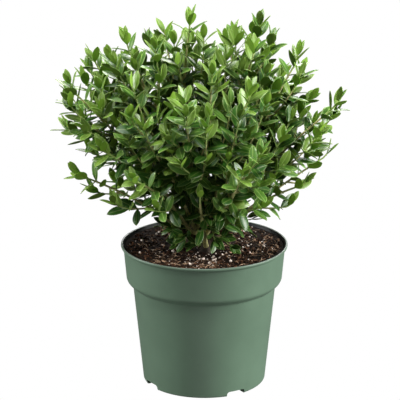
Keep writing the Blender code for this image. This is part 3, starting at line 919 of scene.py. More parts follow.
class Route:
    """A path of points, read by the distance along it."""

    def __init__(self, points):
        self.points = points
        self.marks = [0.0]
        for near, far in zip(points, points[1:]):
            self.marks.append(self.marks[-1] + (far - near).length)
        self.length = self.marks[-1]

    def at(self, distance):
        """The point and the direction at a distance along the path."""
        last = len(self.points) - 2
        index = 0
        while index < last and self.marks[index + 1] < distance:
            index += 1
        near, far = self.points[index], self.points[index + 1]
        step = far - near
        share = (distance - self.marks[index]) / step.length
        return near + share * step, step.normalized()

    def even(self, count):
        """As many points as count, evenly spaced from the start to the end."""
        return [self.at(self.length * index / (count - 1))[0] for index in range(count)]


def bent(start, bend, end, count=24):
    """A smooth path from start to end that leaves towards bend."""
    points = []
    for index in range(count):
        share = index / (count - 1)
        back = 1.0 - share
        points.append(start * back * back + bend * (2 * share * back) + end * share * share)
    return Route(points)


def shoot_path(point, first, last, length, count):
    """The path of a shoot that leaves a point one way and turns to another."""
    bend = point + 0.5 * length * first
    return bent(point, bend, bend + 0.5 * length * last, count)


def turned_up(path, length):
    """The path with a short piece more, which turns upwards."""
    onward = path.at(path.length)[1]
    points = list(path.points)
    for step in (0.5, 1.0):
        onward = (onward + 0.5 * TIP_RISE * UP).normalized()
        points.append(points[-1] + 0.5 * length * onward)
    return Route(points)


def direction_of(azimuth, lean):
    """The unit vector at an azimuth, leaning from upright, both in degrees."""
    tilt = math.radians(lean)
    return Vector((*polar(math.sin(tilt), math.radians(azimuth)), math.cos(tilt)))


def across(direction, towards=UP):
    """A unit vector square to a direction, as near to another as that allows."""
    side = towards - towards.dot(direction) * direction
    if side.length < 0.05:
        side = Vector((1.0, 0.0, 0.0)) - direction.x * direction
    return side.normalized()


def swung(direction, turn, lean):
    """A unit vector that leans away from a direction, at a turn round it."""
    side = across(direction)
    outward = math.cos(turn) * side + math.sin(turn) * direction.cross(side)
    return math.cos(lean) * direction + math.sin(lean) * outward


def taper(radii, count):
    """Radii that narrow evenly from the first of a pair to the second."""
    first, last = radii
    return [first + (last - first) * index / (count - 1) for index in range(count)]


def tube(line, radii, sides, swell=None):
    """Points and four-cornered faces of a closed tube along a line."""
    points = []
    side = across((line[1] - line[0]).normalized())
    for index, point in enumerate(line):
        before, after = line[max(index - 1, 0)], line[min(index + 1, len(line) - 1)]
        along = (after - before).normalized()
        side = across(along, side)
        other = along.cross(side)
        for corner in range(sides):
            turn = math.tau * corner / sides
            out = math.cos(turn) * side + math.sin(turn) * other
            radius = radii[index] * (swell(index, turn, point, out) if swell else 1.0)
            points.append(point + radius * out)
    faces = []
    end = (len(line) - 1) * sides
    for low in range(0, end, sides):
        faces += band(low, low + sides, sides)
    for corner in range(1, sides - 1, 2):
        fan = [0, *range(corner, min(corner + 3, sides))]
        faces.append([0, *fan[:0:-1]])
        faces.append([end + place for place in fan])
    return points, faces


def spiral(turn, mark, end, step):
    """Marks along a shoot up to its end, each a golden turn and a step on from the last."""
    while mark < end:
        yield mark, turn
        mark += step()
        turn += GOLDEN_TURN


def shorter(length, least):
    """A length, then shorter and shorter ones down to the least."""
    while length > least:
        yield length
        length *= SHOOT_VARIES[0]


class Limb:
    """The main stem or a bough: its smooth path, its route as a solid and its radii."""

    def __init__(self, path, rings, radii, root):
        self.path = path
        self.route = Route(path.even(rings))
        self.radii = radii
        self.root = root

    def radius(self, distance):
        place = distance / self.route.length * (len(self.radii) - 1)
        index = min(int(place), len(self.radii) - 2)
        share = place - index
        return self.radii[index] * (1 - share) + self.radii[index + 1] * share

    def clear_of(self, point, margin):
        """True where a point lies further than the margin from the limb's bark."""
        for index, (near, far) in enumerate(zip(self.route.points, self.route.points[1:])):
            step = far - near
            share = clamp((point - near).dot(step) / step.length_squared)
            if (point - near - share * step).length < self.radii[index] + margin:
                return False
        return True


def main_stem():
    lift = STEM_TOP - STEM_BASE
    path = bent(STEM_BASE, STEM_BASE + 0.5 * lift.z * UP, STEM_TOP)
    marks = Route(path.even(STEM_RINGS)).marks
    radii = []
    for mark, plain in zip(marks, taper((STEM_BASE_RADIUS, STEM_TOP_RADIUS), STEM_RINGS)):
        radii.append(plain + STEM_FLARE * math.exp(-mark / STEM_FLARE_FADE))
    return Limb(path, STEM_RINGS, radii, STEM_BASE)


def bough_reach(lean):
    """How far from the heart a bough ends: the low ones enter their foliage sooner."""
    share = math.radians(lean) / LOW_LEAN
    return UPRIGHT_BOUGH_REACH + share * (LOW_BOUGH_REACH - UPRIGHT_BOUGH_REACH)


def bough(azimuth, lean, carrier, fork, on_stem):
    """A limb from its fork on the carrying limb to the foot of its mass of foliage."""
    towards = direction_of(azimuth, lean)
    end = HEART + bough_reach(lean) * towards
    radii = taper(MAIN_BOUGH_RADII if on_stem else SIDE_BOUGH_RADII, BOUGH_RINGS)
    height = fork * MM if on_stem else fork * carrier.route.length
    if height >= carrier.route.length - GAP:
        root, along = carrier.route.at(carrier.route.length)
        start, normal = root + GAP * along, along
    else:
        root, along = carrier.route.at(height)
        normal = across(along, (end - root).normalized())
        thickest = carrier.radius(max(height - radii[0], 0.0))
        start = root + (thickest + GAP) * normal
    span = end - start
    first = (span.normalized() + BOUGH_SPREAD * normal - BOUGH_LIFT * towards).normalized()
    bend = start + BEND_AT * span.length * first
    return Limb(bent(start, bend, end), BOUGH_RINGS, radii, root)


def grow_limbs():
    """The main stem and the boughs, by name."""
    limbs = {"main_stem": main_stem()}
    for name, azimuth, lean, _, carrier, fork in LEADERS:
        on_stem = carrier == "main_stem"
        limbs[name] = bough(azimuth, lean, limbs[carrier], fork, on_stem)
    return limbs


def bark(mark, turn, point, out, stem):
    """The radius of the bark at a place on a limb, as a share of the plain one."""
    ridge = noise.noise(Vector((*polar(RIDGES_ROUND, turn), point.z / RIDGE_LONG)))
    crumb = noise.noise((point + out * 3 * MM) / CRUMB_SIZE)
    knot = math.exp(-((mark / KNOTS_APART % 1.0 - 0.5) / KNOT_WIDE) ** 2)
    lobes = 0.0
    if stem:
        lobes = LOBE_SHARE * math.cos(FOOT_LOBES * turn + 0.6) * math.exp(-mark / LOBE_FADE)
    return 1.0 + RIDGE_SHARE * ridge + CRUMB_SHARE * crumb + KNOT_SHARE * knot + lobes


def build_limbs(limbs, settings):
    """The main stem and the boughs in one mesh, with the relief of their bark."""
    wood = Joined()
    for name, limb in limbs.items():
        stem = name == "main_stem"
        route = limb.path if stem else Route([limb.root] + limb.path.points)
        count = max(int(route.length / BARK_STEP), 6)
        lead = 0.0 if stem else (limb.path.points[0] - limb.root).length
        step = route.length / (count - 1)
        marks = [max(index * step - lead, 0.0) for index in range(count)]
        radii = [limb.radius(min(mark, limb.route.length)) for mark in marks]

        def swell(index, turn, point, out, step=step, stem=stem):
            return bark(index * step, turn, point, out, stem)

        # The main stem and the boughs away from the front are darkened, a painted shade of the
        # crown's dark heart; the front boughs take the pale young bark.
        kind = 0 if stem else 2 if name.startswith("front") else 1
        wood.add(*tube(route.even(count), radii, 18 if stem else 14, swell), kind)
    finishes = [
        wood_finish("stem_bark", shade_of(settings.old_bark, 0.26), 0.85, 420.0),
        wood_finish("bough_bark", shade_of(settings.old_bark, 0.45), 0.8, 520.0),
        wood_finish("front_bough_bark", shade_of(settings.young_bark, 1.1), 0.8, 520.0),
    ]
    names = ["main_stem"] + ["bough_" + leader[0] for leader in LEADERS]
    wood.piece("bark_of_limbs", finishes, "bark", names, sharp=70.0)


# Growth ---


class Cell:
    """The space of one mass: the cone of directions nearer to its leader than to any other."""

    def __init__(self, index, axes, limbs):
        own = axes[index]
        self.axis = own
        self.walls = [(own - other).normalized() for other in axes if other is not own]
        self.reach = LEADERS[index][3] * MM
        self.limbs = limbs

    def reach_towards(self, out):
        """The finer growth's reach, which dips away from the leader."""
        aside = min(out.angle(self.axis), DIP_WITHIN)
        low = out.normalized().z < self.axis.z
        dip = (LOW_DIP if low else EDGE_DIP) * aside * aside
        return self.reach * (1.0 - dip) + 2 * MM

    def holds(self, point, slack=-CELL_MARGIN):
        """True within the cone, the reach and the slope that rises from the pot's rim."""
        out = point - HEART
        if out.length > (self.reach if slack < 0 else self.reach_towards(out)):
            return False
        if any(out.dot(wall) < -slack for wall in self.walls):
            return False
        rim_rise = RIM_SLOPE * max(0.0, point.xy.length - RIM_SLOPE_FROM)
        if slack > 0:
            rim_rise += min(RIGHT_SLOPE * max(0.0, point.x - RIM_SLOPE_FROM), RIGHT_RISE)
        return point.z > SOIL_TOP + GROUND_CLEAR + rim_rise

    def free(self, points, margin, slack=-CELL_MARGIN):
        """True where all the points are in the cell and clear of the limbs."""
        if not all(self.holds(point, slack) for point in points):
            return False
        near = [point for point in points if (point - HEART).length < LIMBS_WITHIN]
        return all(limb.clear_of(point, margin) for point in near for limb in self.limbs)


class Twig:
    """A twig: its path, its radii, how old it is and the tone of its leaves."""

    def __init__(self, path, radii, order, tone, slack=CELL_SLACK):
        self.path, self.radii, self.order, self.tone, self.slack = path, radii, order, tone, slack


class Leaf:
    """One leaf: a frame at its root, whose X runs to its tip and whose Z is its upper side."""

    FACES = (
        (0, 2, 1), (1, 2, 4), (1, 4, 3), (3, 4, 5), (5, 1, 3), (5, 0, 1), (5, 2, 0), (5, 4, 2),
    )

    def __init__(self, root, direction, face, long, wide, age, tone):
        self.root, self.direction = root, direction
        self.face = across(direction, face)
        self.side = self.face.cross(direction)
        self.long, self.wide, self.age, self.tone = long, wide, age, tone
        half = wide / 2
        self.corners = [self.place(0.04 * long, 0.0, 0.0)]
        for share, spread in ((0.38, 0.9), (0.72, 0.72)):
            self.corners.append(self.place(share * long, spread * half, 0.5 * MM))
            self.corners.append(self.place(share * long, -spread * half, 0.5 * MM))
        self.corners.append(self.place(0.97 * long, 0.0, 0.0))
        self.middle = self.place(long / 2, 0.0, 0.0)
        self.faces = BVHTree.FromPolygons(self.corners, self.FACES)

    def place(self, along, aside, rise):
        return self.root + along * self.direction + aside * self.side + rise * self.face


class Crown:
    """All the leaves so far, found again by where they are, and the tips of the twigs."""

    def __init__(self, tips):
        self.boxes = {}
        self.tips = tips

    def open_at(self, tip, apart):
        """True where no other tip is as near as apart."""
        return all((tip - other).length > apart for other in self.tips)

    def key(self, point):
        return tuple(math.floor(part / CROWN_BOX) for part in point)

    def add(self, leaf):
        self.boxes.setdefault(self.key(leaf.middle), []).append(leaf)

    def clear_of(self, leaf):
        """True where the leaf touches no other."""
        spans = [(part - 1, part, part + 1) for part in self.key(leaf.middle)]
        near = (other for key in itertools.product(*spans) for other in self.boxes.get(key, ()))
        return not any(other.faces.overlap(leaf.faces) for other in near)


class Mass:
    """The twigs and the leaves of one mass of foliage."""

    def __init__(self, index, limb, cell, crown, sizes):
        name, azimuth, lean = LEADERS[index][:3]
        self.cell, self.crown, self.sizes = cell, crown, sizes
        self.chance, self.finer, self.thinning = (
            random.Random(SEED + more + index) for more in (0, 100, 200)
        )
        self.sparse = lean >= SPARSE_LEAN
        self.share = HOLLOW_SHARE if name == "front_low" else 1.0
        self.front = cell.axis.y < FRONT_FROM
        # Painted light: masses that lean out to the sides and low get lighter leaf tones.
        self.light = PAINTED_SIDE_LIGHT * (abs(cell.axis.x) + 0.3) * (1.0 - cell.axis.z)
        root, along = limb.route.at(limb.route.length)
        start = root + GAP * along
        tip = HEART + (cell.reach - LEADER_SHORT) * direction_of(azimuth, lean)
        path = bent(start, start + BEND_AT * (tip - start).length * along, tip)
        self.leader = Route(path.even(5))
        whole = [root - 2 * MM * along] + turned_up(path, LEADER_ON[self.sparse]).points
        self.twigs = [Twig(Route(whole), LEADER_RADII, 0, self.tone(1.0))]
        self.leaves = []
        self.grow_shoots()

    def tone(self, outward):
        """The tone of a shoot's leaves: the outer shoots are the brighter ones, the low, sparse
        masses take darker tones as painted shade, and the masses that lean out to the sides take
        lighter ones as painted light.
        """
        share = self.finer.random() * (0.5 if self.sparse else 0.75) + 0.25 * outward
        share += self.light
        return sum(share >= end for end in TONE_ENDS)

    def room(self, path, last, margin, joints=5, tuft=TUFT_BEYOND, slack=-CELL_MARGIN):
        """True where a shoot and the tuft of leaves at its tip are free."""
        beyond = path.points[-1] + tuft * last
        return self.cell.free(path.even(joints)[1:] + [beyond], margin, slack)

    def keep(self, path, radii, order, tone):
        self.twigs.append(Twig(path, radii, order, tone))
        self.crown.tips.append(path.points[-1])

    def grow_shoots(self):
        """The side shoots of the solids, in a spiral up the leader to its young tip."""
        chance = self.chance
        end = self.leader.length - SHOOT_LAST
        marks = spiral(
            chance.uniform(0.0, math.tau), SHOOT_FIRST, end,
            lambda: SHOOT_SPACING * chance.uniform(*SHOOT_VARIES),
        )
        for mark, turn in marks:
            self.grow_shoot(mark, turn)

    def grow_shoot(self, mark, turn):
        """A side shoot that bends up along the leader, as long as the cell allows."""
        point, along = self.leader.at(mark)
        first = swung(along, turn, SHOOT_ANGLE)
        last = (first + SHOOT_FOLLOW * along + SHOOT_RISE * UP).normalized()
        longest = SHOOT_SHARE * (self.leader.length - mark) + SHOOT_EXTRA
        longest *= self.chance.uniform(*SHOOT_VARIES)
        for length in shorter(longest, SHOOT_LEAST):
            path = shoot_path(point, first, last, length, 24)
            if self.room(path, last, LIMB_MARGIN + SHOOT_RADII[0]):
                if mark <= self.leader.length - UNBRANCHED_TIP:
                    tone = self.tone(mark / self.leader.length)
                    self.keep(turned_up(path, SHOOT_ON), SHOOT_RADII, 1, tone)
                return

    def grow_finer(self, limb):
        """The risers, the side shoots of the shoots and the sprouts of the bough."""
        chance = self.finer
        if not self.sparse:
            marks = spiral(
                chance.uniform(0.0, math.tau) + GOLDEN_TURN, RISER_FROM * self.leader.length,
                self.leader.length - UNBRANCHED_TIP,
                lambda: RISER_STEP * chance.uniform(*SHOOT_VARIES),
            )
            for mark, turn in marks:
                self.grow_riser(mark, turn)
        for shoot in self.twigs[1:]:
            self.grow_side_shoots(shoot)
        self.grow_sprouts(limb)

    def grow_riser(self, mark, turn):
        """A finer shoot that turns out of the leader, up to an open place in the crown."""
        point, along = self.leader.at(mark)
        out = point - HEART
        first = swung(along, turn, RISER_ANGLE)
        last = RISER_KEEP * first + RISER_FOLLOW * out.normalized() + RISER_RISE * UP
        last.normalize()
        longest = min(self.cell.reach - out.length - RISER_SHORT, RISER_LONG)
        longest *= self.finer.uniform(0.8, 1.0)
        for length in shorter(longest, 2 * SHOOT_LEAST):
            path = shoot_path(point, first, last, length, 16)
            free = self.room(path, last, 2 * MM, slack=RISER_SLACK)
            if free and self.crown.open_at(path.points[-1], TIPS_APART):
                self.keep(path, SHOOT_RADII, 1, self.tone(mark / self.leader.length))
                return

    def grow_side_shoots(self, shoot):
        """Short side shoots in a spiral up a long one, where the crown is open."""
        end = shoot.path.length - SIDE_SHOOT_LEAST
        start = self.finer.uniform(0.0, math.tau) + GOLDEN_TURN
        for mark, turn in spiral(start, SIDE_SHOOT_STEP, end, lambda: SIDE_SHOOT_STEP):
            point, along = shoot.path.at(mark)
            first = swung(along, turn, SHOOT_ANGLE)
            last = (first + SHOOT_FOLLOW * along + 2 * SHOOT_RISE * UP).normalized()
            length = SIDE_SHOOT_SHARE * (shoot.path.length - mark) + 0.5 * SIDE_SHOOT_LEAST
            path = shoot_path(point, first, last, length, 8)
            free = self.room(path, last, LIMB_MARGIN, 4, 0.6 * TUFT_BEYOND, CELL_SLACK / 2)
            if free and self.crown.open_at(path.points[-1], SIDE_TIPS_APART[self.front]):
                self.keep(path, SIDE_SHOOT_RADII, 2, shoot.tone)

    def grow_sprouts(self, limb):
        """Short leafy shoots on the bough below its mass."""
        turn = self.finer.uniform(0.0, math.tau)
        for share in SPROUT_SHARES:
            turn += GOLDEN_TURN
            point, along = limb.path.at(share * limb.path.length)
            first = swung(along, turn, SPROUT_ANGLE)
            last = (first + 0.5 * UP).normalized()
            path = shoot_path(point, first, last, self.finer.uniform(*SPROUT_LONG), 8)
            if self.cell.free(path.even(4)[2:], 2 * MM, SPROUT_SLACK):
                # Sprouts carry tone 0: their leaves are painted shade below the crown.
                self.twigs.append(Twig(path, SIDE_SHOOT_RADII, 2, 0, SPROUT_SLACK))

    def dress(self):
        """Pairs of leaves down every twig, each pair a quarter turn from the last."""
        for twig in self.twigs:
            fresh = self.finer.random() < FRESH_SHARES[self.sparse]
            turn = self.finer.uniform(0.0, math.tau)
            for back, size, lean in self.pairs(twig):
                tone = 3 if fresh and back < 3 * MM else None
                for side in (0.0, math.pi):
                    apart = back + self.finer.uniform(0.0, PAIR_APART)
                    self.add_leaf(twig, apart, turn + side, size, lean, tone)
                turn += PAIR_TURN + self.finer.uniform(*TURN_VARIES)

    def pairs(self, twig):
        """How far each pair is from the tip of a twig, its size and its lean."""
        for back, size, lean in YOUNG_PAIRS:
            yield back * MM, size, lean
        back *= MM
        bare = (BARE_SHARE * twig.path.length, *BARE_FEET)[twig.order]
        while True:
            back += self.sizes.pair_spacing * self.finer.uniform(*SHOOT_VARIES)
            if back > twig.path.length - bare:
                return
            yield back, 1.0, lean + (OLD_LEAN - lean) * min(back / OLD_AT, 1.0)

    def lit(self, twig):
        """True for the leaders that stand in front of the crown's dark heart, whose leaves are
        kept out of the painted shade.
        """
        return self.front and twig.order == 0

    def leaf_tone(self, twig, back, point):
        """The tone of a leaf: the deep tone as painted shade low in the crown, towards its back,
        deep inside it and on the sprouts, else lighter or darker than its twig's own.
        """
        chance = self.finer
        # Painted shade by height, reaching higher towards the back, and by depth inside the
        # crown.
        low = point.z - PAINTED_BACK_SHADE * point.y < PAINTED_SHADE_BELOW - chance.uniform(*PAINTED_SHADE_VARIES)
        out = (point - HEART).length
        deep = out < chance.uniform(*PAINTED_SHADE_WITHIN) * self.cell.reach
        if twig.slack == SPROUT_SLACK or ((low or deep) and not self.lit(twig)):
            return 0
        step = 1 if back < YOUNG_TO else 0 if back < GROWN_TO else -1
        step += chance.choices((-1, 0, 1), TONE_STEPS)[0]
        # Outer leaves away from the front are kept out of the deep tone, a painted light on the
        # crown's shell.
        outer = out > OUTER_FROM * self.cell.reach and not self.front
        return min(max(twig.tone + step, 1 if outer else 0), 2)

    def add_leaf(self, twig, back, turn, size, lean, tone):
        """A leaf at a distance from the tip, swung a little aside where there is no room."""
        chance = self.finer
        if back > twig.path.length:
            return
        point, along = twig.path.at(twig.path.length - back)
        low = (point.z - SOIL_TOP) / THIN_BELOW
        low = min(low + (FOOT_MORE if point.xy.length < FOOT_WITHIN else 0.0), 1.0)
        if self.thinning.random() > self.share * (THIN_LEAST + (1.0 - THIN_LEAST) * low):
            return
        # Low in the crown, fresh tips too take their tone from the painted shade rule.
        if tone is None or (point.z < PAINTED_SHADE_BELOW and not self.lit(twig)):
            tone = self.leaf_tone(twig, back, point)
        lean = math.radians(lean + chance.uniform(*LEAN_VARIES))
        size *= SPROUT_LEAF if twig.slack == SPROUT_SLACK else 1.0
        long = size * chance.uniform(*LONG_VARIES) * self.sizes.leaf_length
        wide = long * self.sizes.leaf_width * chance.uniform(*WIDE_VARIES)
        face = (along + 0.4 * UP).normalized()
        for aside in LEAF_SWINGS:
            direction = swung(along, turn + aside, lean)
            root = point + 0.3 * MM * direction
            leaf = Leaf(root, direction, face, long, wide, min(back / CURLED_AT, 1.0), tone)
            free = self.cell.free(leaf.corners[1:], 0.2 * MM, twig.slack)
            if free and self.crown.clear_of(leaf):
                self.leaves.append(leaf)
                self.crown.add(leaf)
                return


def grow_masses(limbs, sizes):
    """Every mass: first the twigs of the solids, then the finer ones, then the leaves."""
    axes = [direction_of(azimuth, lean) for _, azimuth, lean, _, _, _ in LEADERS]
    crown = Crown([HEART + leader[3] * MM * axis for leader, axis in zip(LEADERS, axes)])
    masses = {}
    for index, leader in enumerate(LEADERS):
        cell = Cell(index, axes, list(limbs.values()))
        masses[leader[0]] = Mass(index, limbs[leader[0]], cell, crown, sizes)
    for name, mass in masses.items():
        mass.grow_finer(limbs[name])
    for mass in masses.values():
        mass.dress()
    return masses


# Leaf and twig meshes ---

# Share of the blade's length, and the half width there as a share of the widest.
BLADE = (
    (0.00, 0.12), (0.08, 0.42), (0.21, 0.78), (0.37, 0.97), (0.54, 1.00), (0.70, 0.89),
    (0.84, 0.63), (0.94, 0.31), (1.00, 0.04),
)
STALK = 2.2 * MM
STALK_HALF = 0.36 * MM
RIB_HALF = 0.26 * MM
BRIM = 0.42 * MM
LEAF_THICK = 0.42 * MM
AROUND = 7
LEAF_FINISHES = ("deep", "mid", "bright", "fresh", "under", "young_under", "rib", "young_rib")
# Round a leaf from its left margin; the margins are as pale as the rib, partly the leaf's own
# pale edge and partly a painted highlight on it.
KINDS = ("rib", "blade", "rib", "blade", "rib", "under", "under")


def leaf_meshes(leaves, chance):
    """Points of all the leaves at once, and the faces of one with their kinds."""
    chance = np.random.default_rng(chance)

    def each(name):
        return np.array([getattr(leaf, name) for leaf in leaves], float)

    def varied(middle, spread):
        return middle + chance.normal(0.0, spread, long.shape)

    long, half, age = each("long")[:, None], each("wide")[:, None] / 2, each("age")[:, None]
    curl = varied(0.02 + 0.42 * age, 0.12)
    fold = varied(0.26 - 0.12 * age, 0.08)
    dome = varied(0.08 + 0.10 * age, 0.04)
    twist = varied(0.0, 0.16)
    stations, widths = (np.repeat([row], len(leaves), 0) for row in zip(*BLADE))
    share = np.concatenate([-STALK / long, stations], 1)
    spread = np.concatenate([STALK_HALF / half, widths], 1)
    local = np.maximum(spread * half, 0.06 * MM)
    rib = np.minimum(RIB_HALF, 0.35 * local)
    brim = np.maximum(local - BRIM, 0.72 * local)
    lateral = np.stack([local, brim, rib, -rib, -brim, -local, 0 * local], 2)
    fold, dome, wide = fold[..., None], dome[..., None], half[..., None]
    lift = fold * np.abs(lateral) - dome * lateral ** 2 / wide
    lift[:, :, [0, 5]] -= 0.6 * LEAF_THICK
    lift[:, :, 6] -= LEAF_THICK * 1.25
    bend = curl * np.maximum(share, 0.0)
    steps = np.diff(share, axis=1) * long
    middle = (bend[:, 1:] + bend[:, :-1]) / 2
    first = share[:, :1] * long
    along = np.concatenate([first, first + np.cumsum(steps * np.cos(middle), 1)], 1)
    drop = np.concatenate([0 * first, np.cumsum(-steps * np.sin(middle), 1)], 1)
    turn = (twist * np.maximum(share, 0.0))[..., None]
    aside = lateral * np.cos(turn) - lift * np.sin(turn)
    rise = lateral * np.sin(turn) + lift * np.cos(turn)
    x = along[..., None] + rise * np.sin(bend)[..., None]
    z = drop[..., None] + rise * np.cos(bend)[..., None]
    root, direction, side, face = (
        each(name)[:, None, None, :] for name in ("root", "direction", "side", "face")
    )
    points = root + x[..., None] * direction + aside[..., None] * side + z[..., None] * face
    rings = points.shape[1]
    faces, kinds = [], []
    for ring in range(rings - 1):
        faces += band(ring * AROUND, (ring + 1) * AROUND, AROUND)
        kinds += KINDS if ring else ["rib"] * AROUND
    end = (rings - 1) * AROUND
    for corners in ([0, 1, 5, 6], [1, 2, 4, 5], [2, 3, 4]):
        faces += [corners[::-1], [end + corner for corner in corners]]
        kinds += ["rib", "rib"]
    return points.reshape(-1, 3), faces, kinds, rings * AROUND


def build_leaves(name, leaves, finishes, replaced, seed):
    """One piece with all the leaves of a side of the crown."""
    points, pattern, kinds, stride = leaf_meshes(leaves, seed)
    faces, slots = [], []
    for index, leaf in enumerate(leaves):
        first = index * stride
        for face, kind in zip(pattern, kinds):
            faces.append([first + corner for corner in face])
            if kind == "blade":
                slots.append(leaf.tone)
            else:
                # Ribs and undersides follow the leaf's tone, so they carry its painted shade and
                # painted light too.
                young_or_painted_light = leaf.tone >= (1 if kind == "rib" else 2)
                slots.append(LEAF_FINISHES.index("young_" + kind if young_or_painted_light else kind))
    points = points.tolist()
    add_piece(name, points, faces, finishes, slots, replaced, 38.0)


def build_twigs(name, twigs, finishes, replaced):
    """One piece with all the twigs of the crown: brown wood, then tan, then green."""
    wood = Joined()
    for twig in twigs:
        count = max(int(twig.path.length / (6 * MM)), 3)
        points, faces = tube(twig.path.even(count), taper(twig.radii, count), TWIG_SIDES)
        kinds = []
        for index in range(len(faces)):
            ring = min(index // TWIG_SIDES, count - 1)
            back = twig.path.length * (1 - ring / (count - 1))
            kinds.append(2 if back < 24 * MM else 1 if twig.order or back < 150 * MM else 0)
        wood.add(points, faces, kinds)
    wood.piece(name, finishes, "bark", replaced)


# Operators ---


class SHRUB_OT_add_pot(bpy.types.Operator):
    """Build the nursery pot"""

    bl_idname = "shrub.add_pot"
    bl_label = "Add Pot"

    def execute(self, context):
        build_pot(context.scene.pot_settings)
        return {"FINISHED"}


class SHRUB_OT_add_soil(bpy.types.Operator):
    """Fill the pot with peat, bark chips, perlite and fibres"""

    bl_idname = "shrub.add_soil"
    bl_label = "Add Potting Soil"

    def execute(self, context):
        build_soil(context.scene.pot_settings)
        build_litter(context.scene.pot_settings)
        return {"FINISHED"}


class SHRUB_OT_add_limbs(bpy.types.Operator):
    """Build the main stem and the boughs with their bark"""

    bl_idname = "shrub.add_limbs"
    bl_label = "Add Stem and Boughs"

    def execute(self, context):
        build_limbs(grow_limbs(), context.scene.shrub_settings)
        return {"FINISHED"}


class SHRUB_OT_add_foliage(bpy.types.Operator):
    """Grow the twigs and the leaves of the crown"""

    bl_idname = "shrub.add_foliage"
    bl_label = "Add Foliage"

    def execute(self, context):
        settings = context.scene.shrub_settings
        masses = grow_masses(grow_limbs(), settings)
        # The deep and bright slots also carry painted shade and painted light; the half-bright
        # underside and the darker rib go with the darker tones, partly painted shade.
        colours = [
            ("leaf_deep", settings.deep_green, 0.36, 0.12, 0.3),
            ("leaf_mid", settings.mid_green, 0.33, 0.15),
            ("leaf_bright", settings.bright_green, 0.33, 0.18),
            ("leaf_fresh", settings.fresh_green, 0.38, 0.25),
            ("leaf_underside", shade_of(settings.underside_green, 0.5), 0.6, 0.15),
            ("leaf_young_underside", settings.underside_green, 0.55, 0.2),
            ("leaf_rib", shade_of(settings.rib_green, 0.55), 0.45, 0.1),
            ("leaf_young_rib", settings.rib_green, 0.45, 0.1),
        ]
        finishes = [leaf_finish(*colour) for colour in colours]
        groups = {side: [] for side in SIDES_OF_CROWN}
        for name in masses:
            groups["top" if name == "crown" else name.split("_")[0]].append(name)
        for seed, (side, names) in enumerate(groups.items()):
            leaves = [leaf for name in names for leaf in masses[name].leaves]
            replaced = ["foliage_" + name for name in names]
            build_leaves("leaves_" + side, leaves, finishes, replaced, SEED + seed)
        bark = [
            wood_finish("twig_brown", shade_of(settings.young_bark, 0.5), 0.75, 900.0),
            wood_finish("twig_tan", settings.young_bark, 0.7, 900.0),
            wood_finish("twig_green", settings.green_bark, 0.55, 900.0),
        ]
        twigs = [twig for mass in masses.values() for twig in mass.twigs]
        build_twigs("twigs", twigs, bark, ["foliage_" + name for name in masses])
        return {"FINISHED"}


CAMERA_LENS = 182.85
CAMERA_TARGET = Vector((-4.2 * MM, 0.0, 185.4 * MM))
CAMERA_RISE = math.radians(16.93)
LIT_POINT = Vector((0.0, 0.0, 0.2))
LIGHT_WIDTH = 0.9
LIGHTS = {
    "key": (1.75, -0.35, 0.85), "side": (-1.7, 0.05, 0.7), "low": (0.0, -0.9, -0.8),
    "top": (-0.2, -0.5, 1.9), "back": (0.3, 1.5, 1.3),
}
WHITE = (1.0, 1.0, 1.0, 1.0)


def add_backdrop():
    """A white floor and the white round of the studio, which light nothing themselves."""
    bm = bmesh.new()
    bmesh.ops.create_icosphere(bm, subdivisions=4, radius=8.0)
    dome = loose_object("white_round", bm)
    far = 6.0
    mesh = bpy.data.meshes.new("floor")
    corners = [(-far, -far, 0.0), (far, -far, 0.0), (far, far, 0.0), (-far, far, 0.0)]
    mesh.from_pydata(corners, [], [(0, 1, 2, 3)])
    finish = Finish("studio_white", (0.0, 0.0, 0.0), 1.0, 0.0)
    finish.set("Emission Color", WHITE)
    finish.set("Emission Strength", 1.0)
    for part in (dome, in_scene("floor", mesh)):
        part.data.materials.append(finish.material)
        for ray in ("diffuse", "glossy", "transmission", "shadow"):
            setattr(part, "visible_" + ray, False)


def soft_light(name, power, place):
    """A square area light that faces the plant."""
    data = bpy.data.lights.new(name, "AREA")
    data.energy = power
    data.size = LIGHT_WIDTH
    made = in_scene(name, data)
    made.location = place
    made.rotation_euler = (LIT_POINT - Vector(place)).to_track_quat("-Z", "Y").to_euler()
    made.visible_glossy = name != "low_light"


def add_camera(distance):
    data = bpy.data.cameras.new("camera")
    data.lens = CAMERA_LENS
    data.sensor_width = 36.0
    data.clip_end = 30.0
    camera = in_scene("camera", data)
    back = Vector((0.0, -math.cos(CAMERA_RISE), math.sin(CAMERA_RISE)))
    camera.location = CAMERA_TARGET + distance * back
    camera.rotation_euler = (-back).to_track_quat("-Z", "Y").to_euler()
    return camera


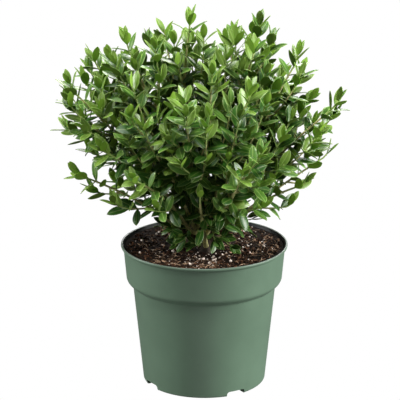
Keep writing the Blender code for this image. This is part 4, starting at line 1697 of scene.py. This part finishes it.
class SHRUB_OT_add_studio(bpy.types.Operator):
    """Set up the white floor, the soft lights and the camera"""

    bl_idname = "shrub.add_studio"
    bl_label = "Add Studio"

    def execute(self, context):
        settings = context.scene.studio_settings
        scene = context.scene
        add_backdrop()
        world = bpy.data.worlds.new("white_studio")
        scene.world = world
        world.use_nodes = True
        background = world.node_tree.nodes["Background"]
        background.inputs["Color"].default_value = WHITE
        background.inputs["Strength"].default_value = settings.surround
        for name, place in LIGHTS.items():
            soft_light(name + "_light", getattr(settings, name + "_power"), place)
        scene.view_settings.view_transform = "Standard"
        scene.camera = add_camera(settings.camera_distance)
        return {"FINISHED"}


class SHRUB_PT_panel(bpy.types.Panel):
    """Lists the pieces of the potted shrub"""

    bl_idname = "SHRUB_PT_panel"
    bl_label = "Potted Holly"
    bl_space_type = "VIEW_3D"
    bl_region_type = "UI"
    bl_category = "Shrub"

    def draw(self, context):
        for operator in OPERATORS:
            self.layout.operator(operator.bl_idname)
        for owner in SETTINGS:
            group = getattr(context.scene, owner)
            for name in group.bl_rna.properties.keys():
                if name not in ("rna_type", "name"):
                    self.layout.prop(group, name)


OPERATORS = (
    SHRUB_OT_add_studio,
    SHRUB_OT_add_pot,
    SHRUB_OT_add_soil,
    SHRUB_OT_add_limbs,
    SHRUB_OT_add_foliage,
)
SETTINGS = {
    "shrub_settings": ShrubSettings,
    "pot_settings": PotSettings,
    "studio_settings": StudioSettings,
}
CLASSES = (*SETTINGS.values(), *OPERATORS, SHRUB_PT_panel)


def register():
    for made in CLASSES:
        bpy.utils.register_class(made)
    for name, group in SETTINGS.items():
        setattr(bpy.types.Scene, name, bpy.props.PointerProperty(type=group))


def unregister():
    for name in SETTINGS:
        delattr(bpy.types.Scene, name)
    for made in reversed(CLASSES):
        bpy.utils.unregister_class(made)


def main():
    register()
    bpy.ops.shrub.add_studio()
    bpy.ops.shrub.add_pot()
    bpy.ops.shrub.add_soil()
    bpy.ops.shrub.add_limbs()
    bpy.ops.shrub.add_foliage()


if __name__ == "__main__":
    main()
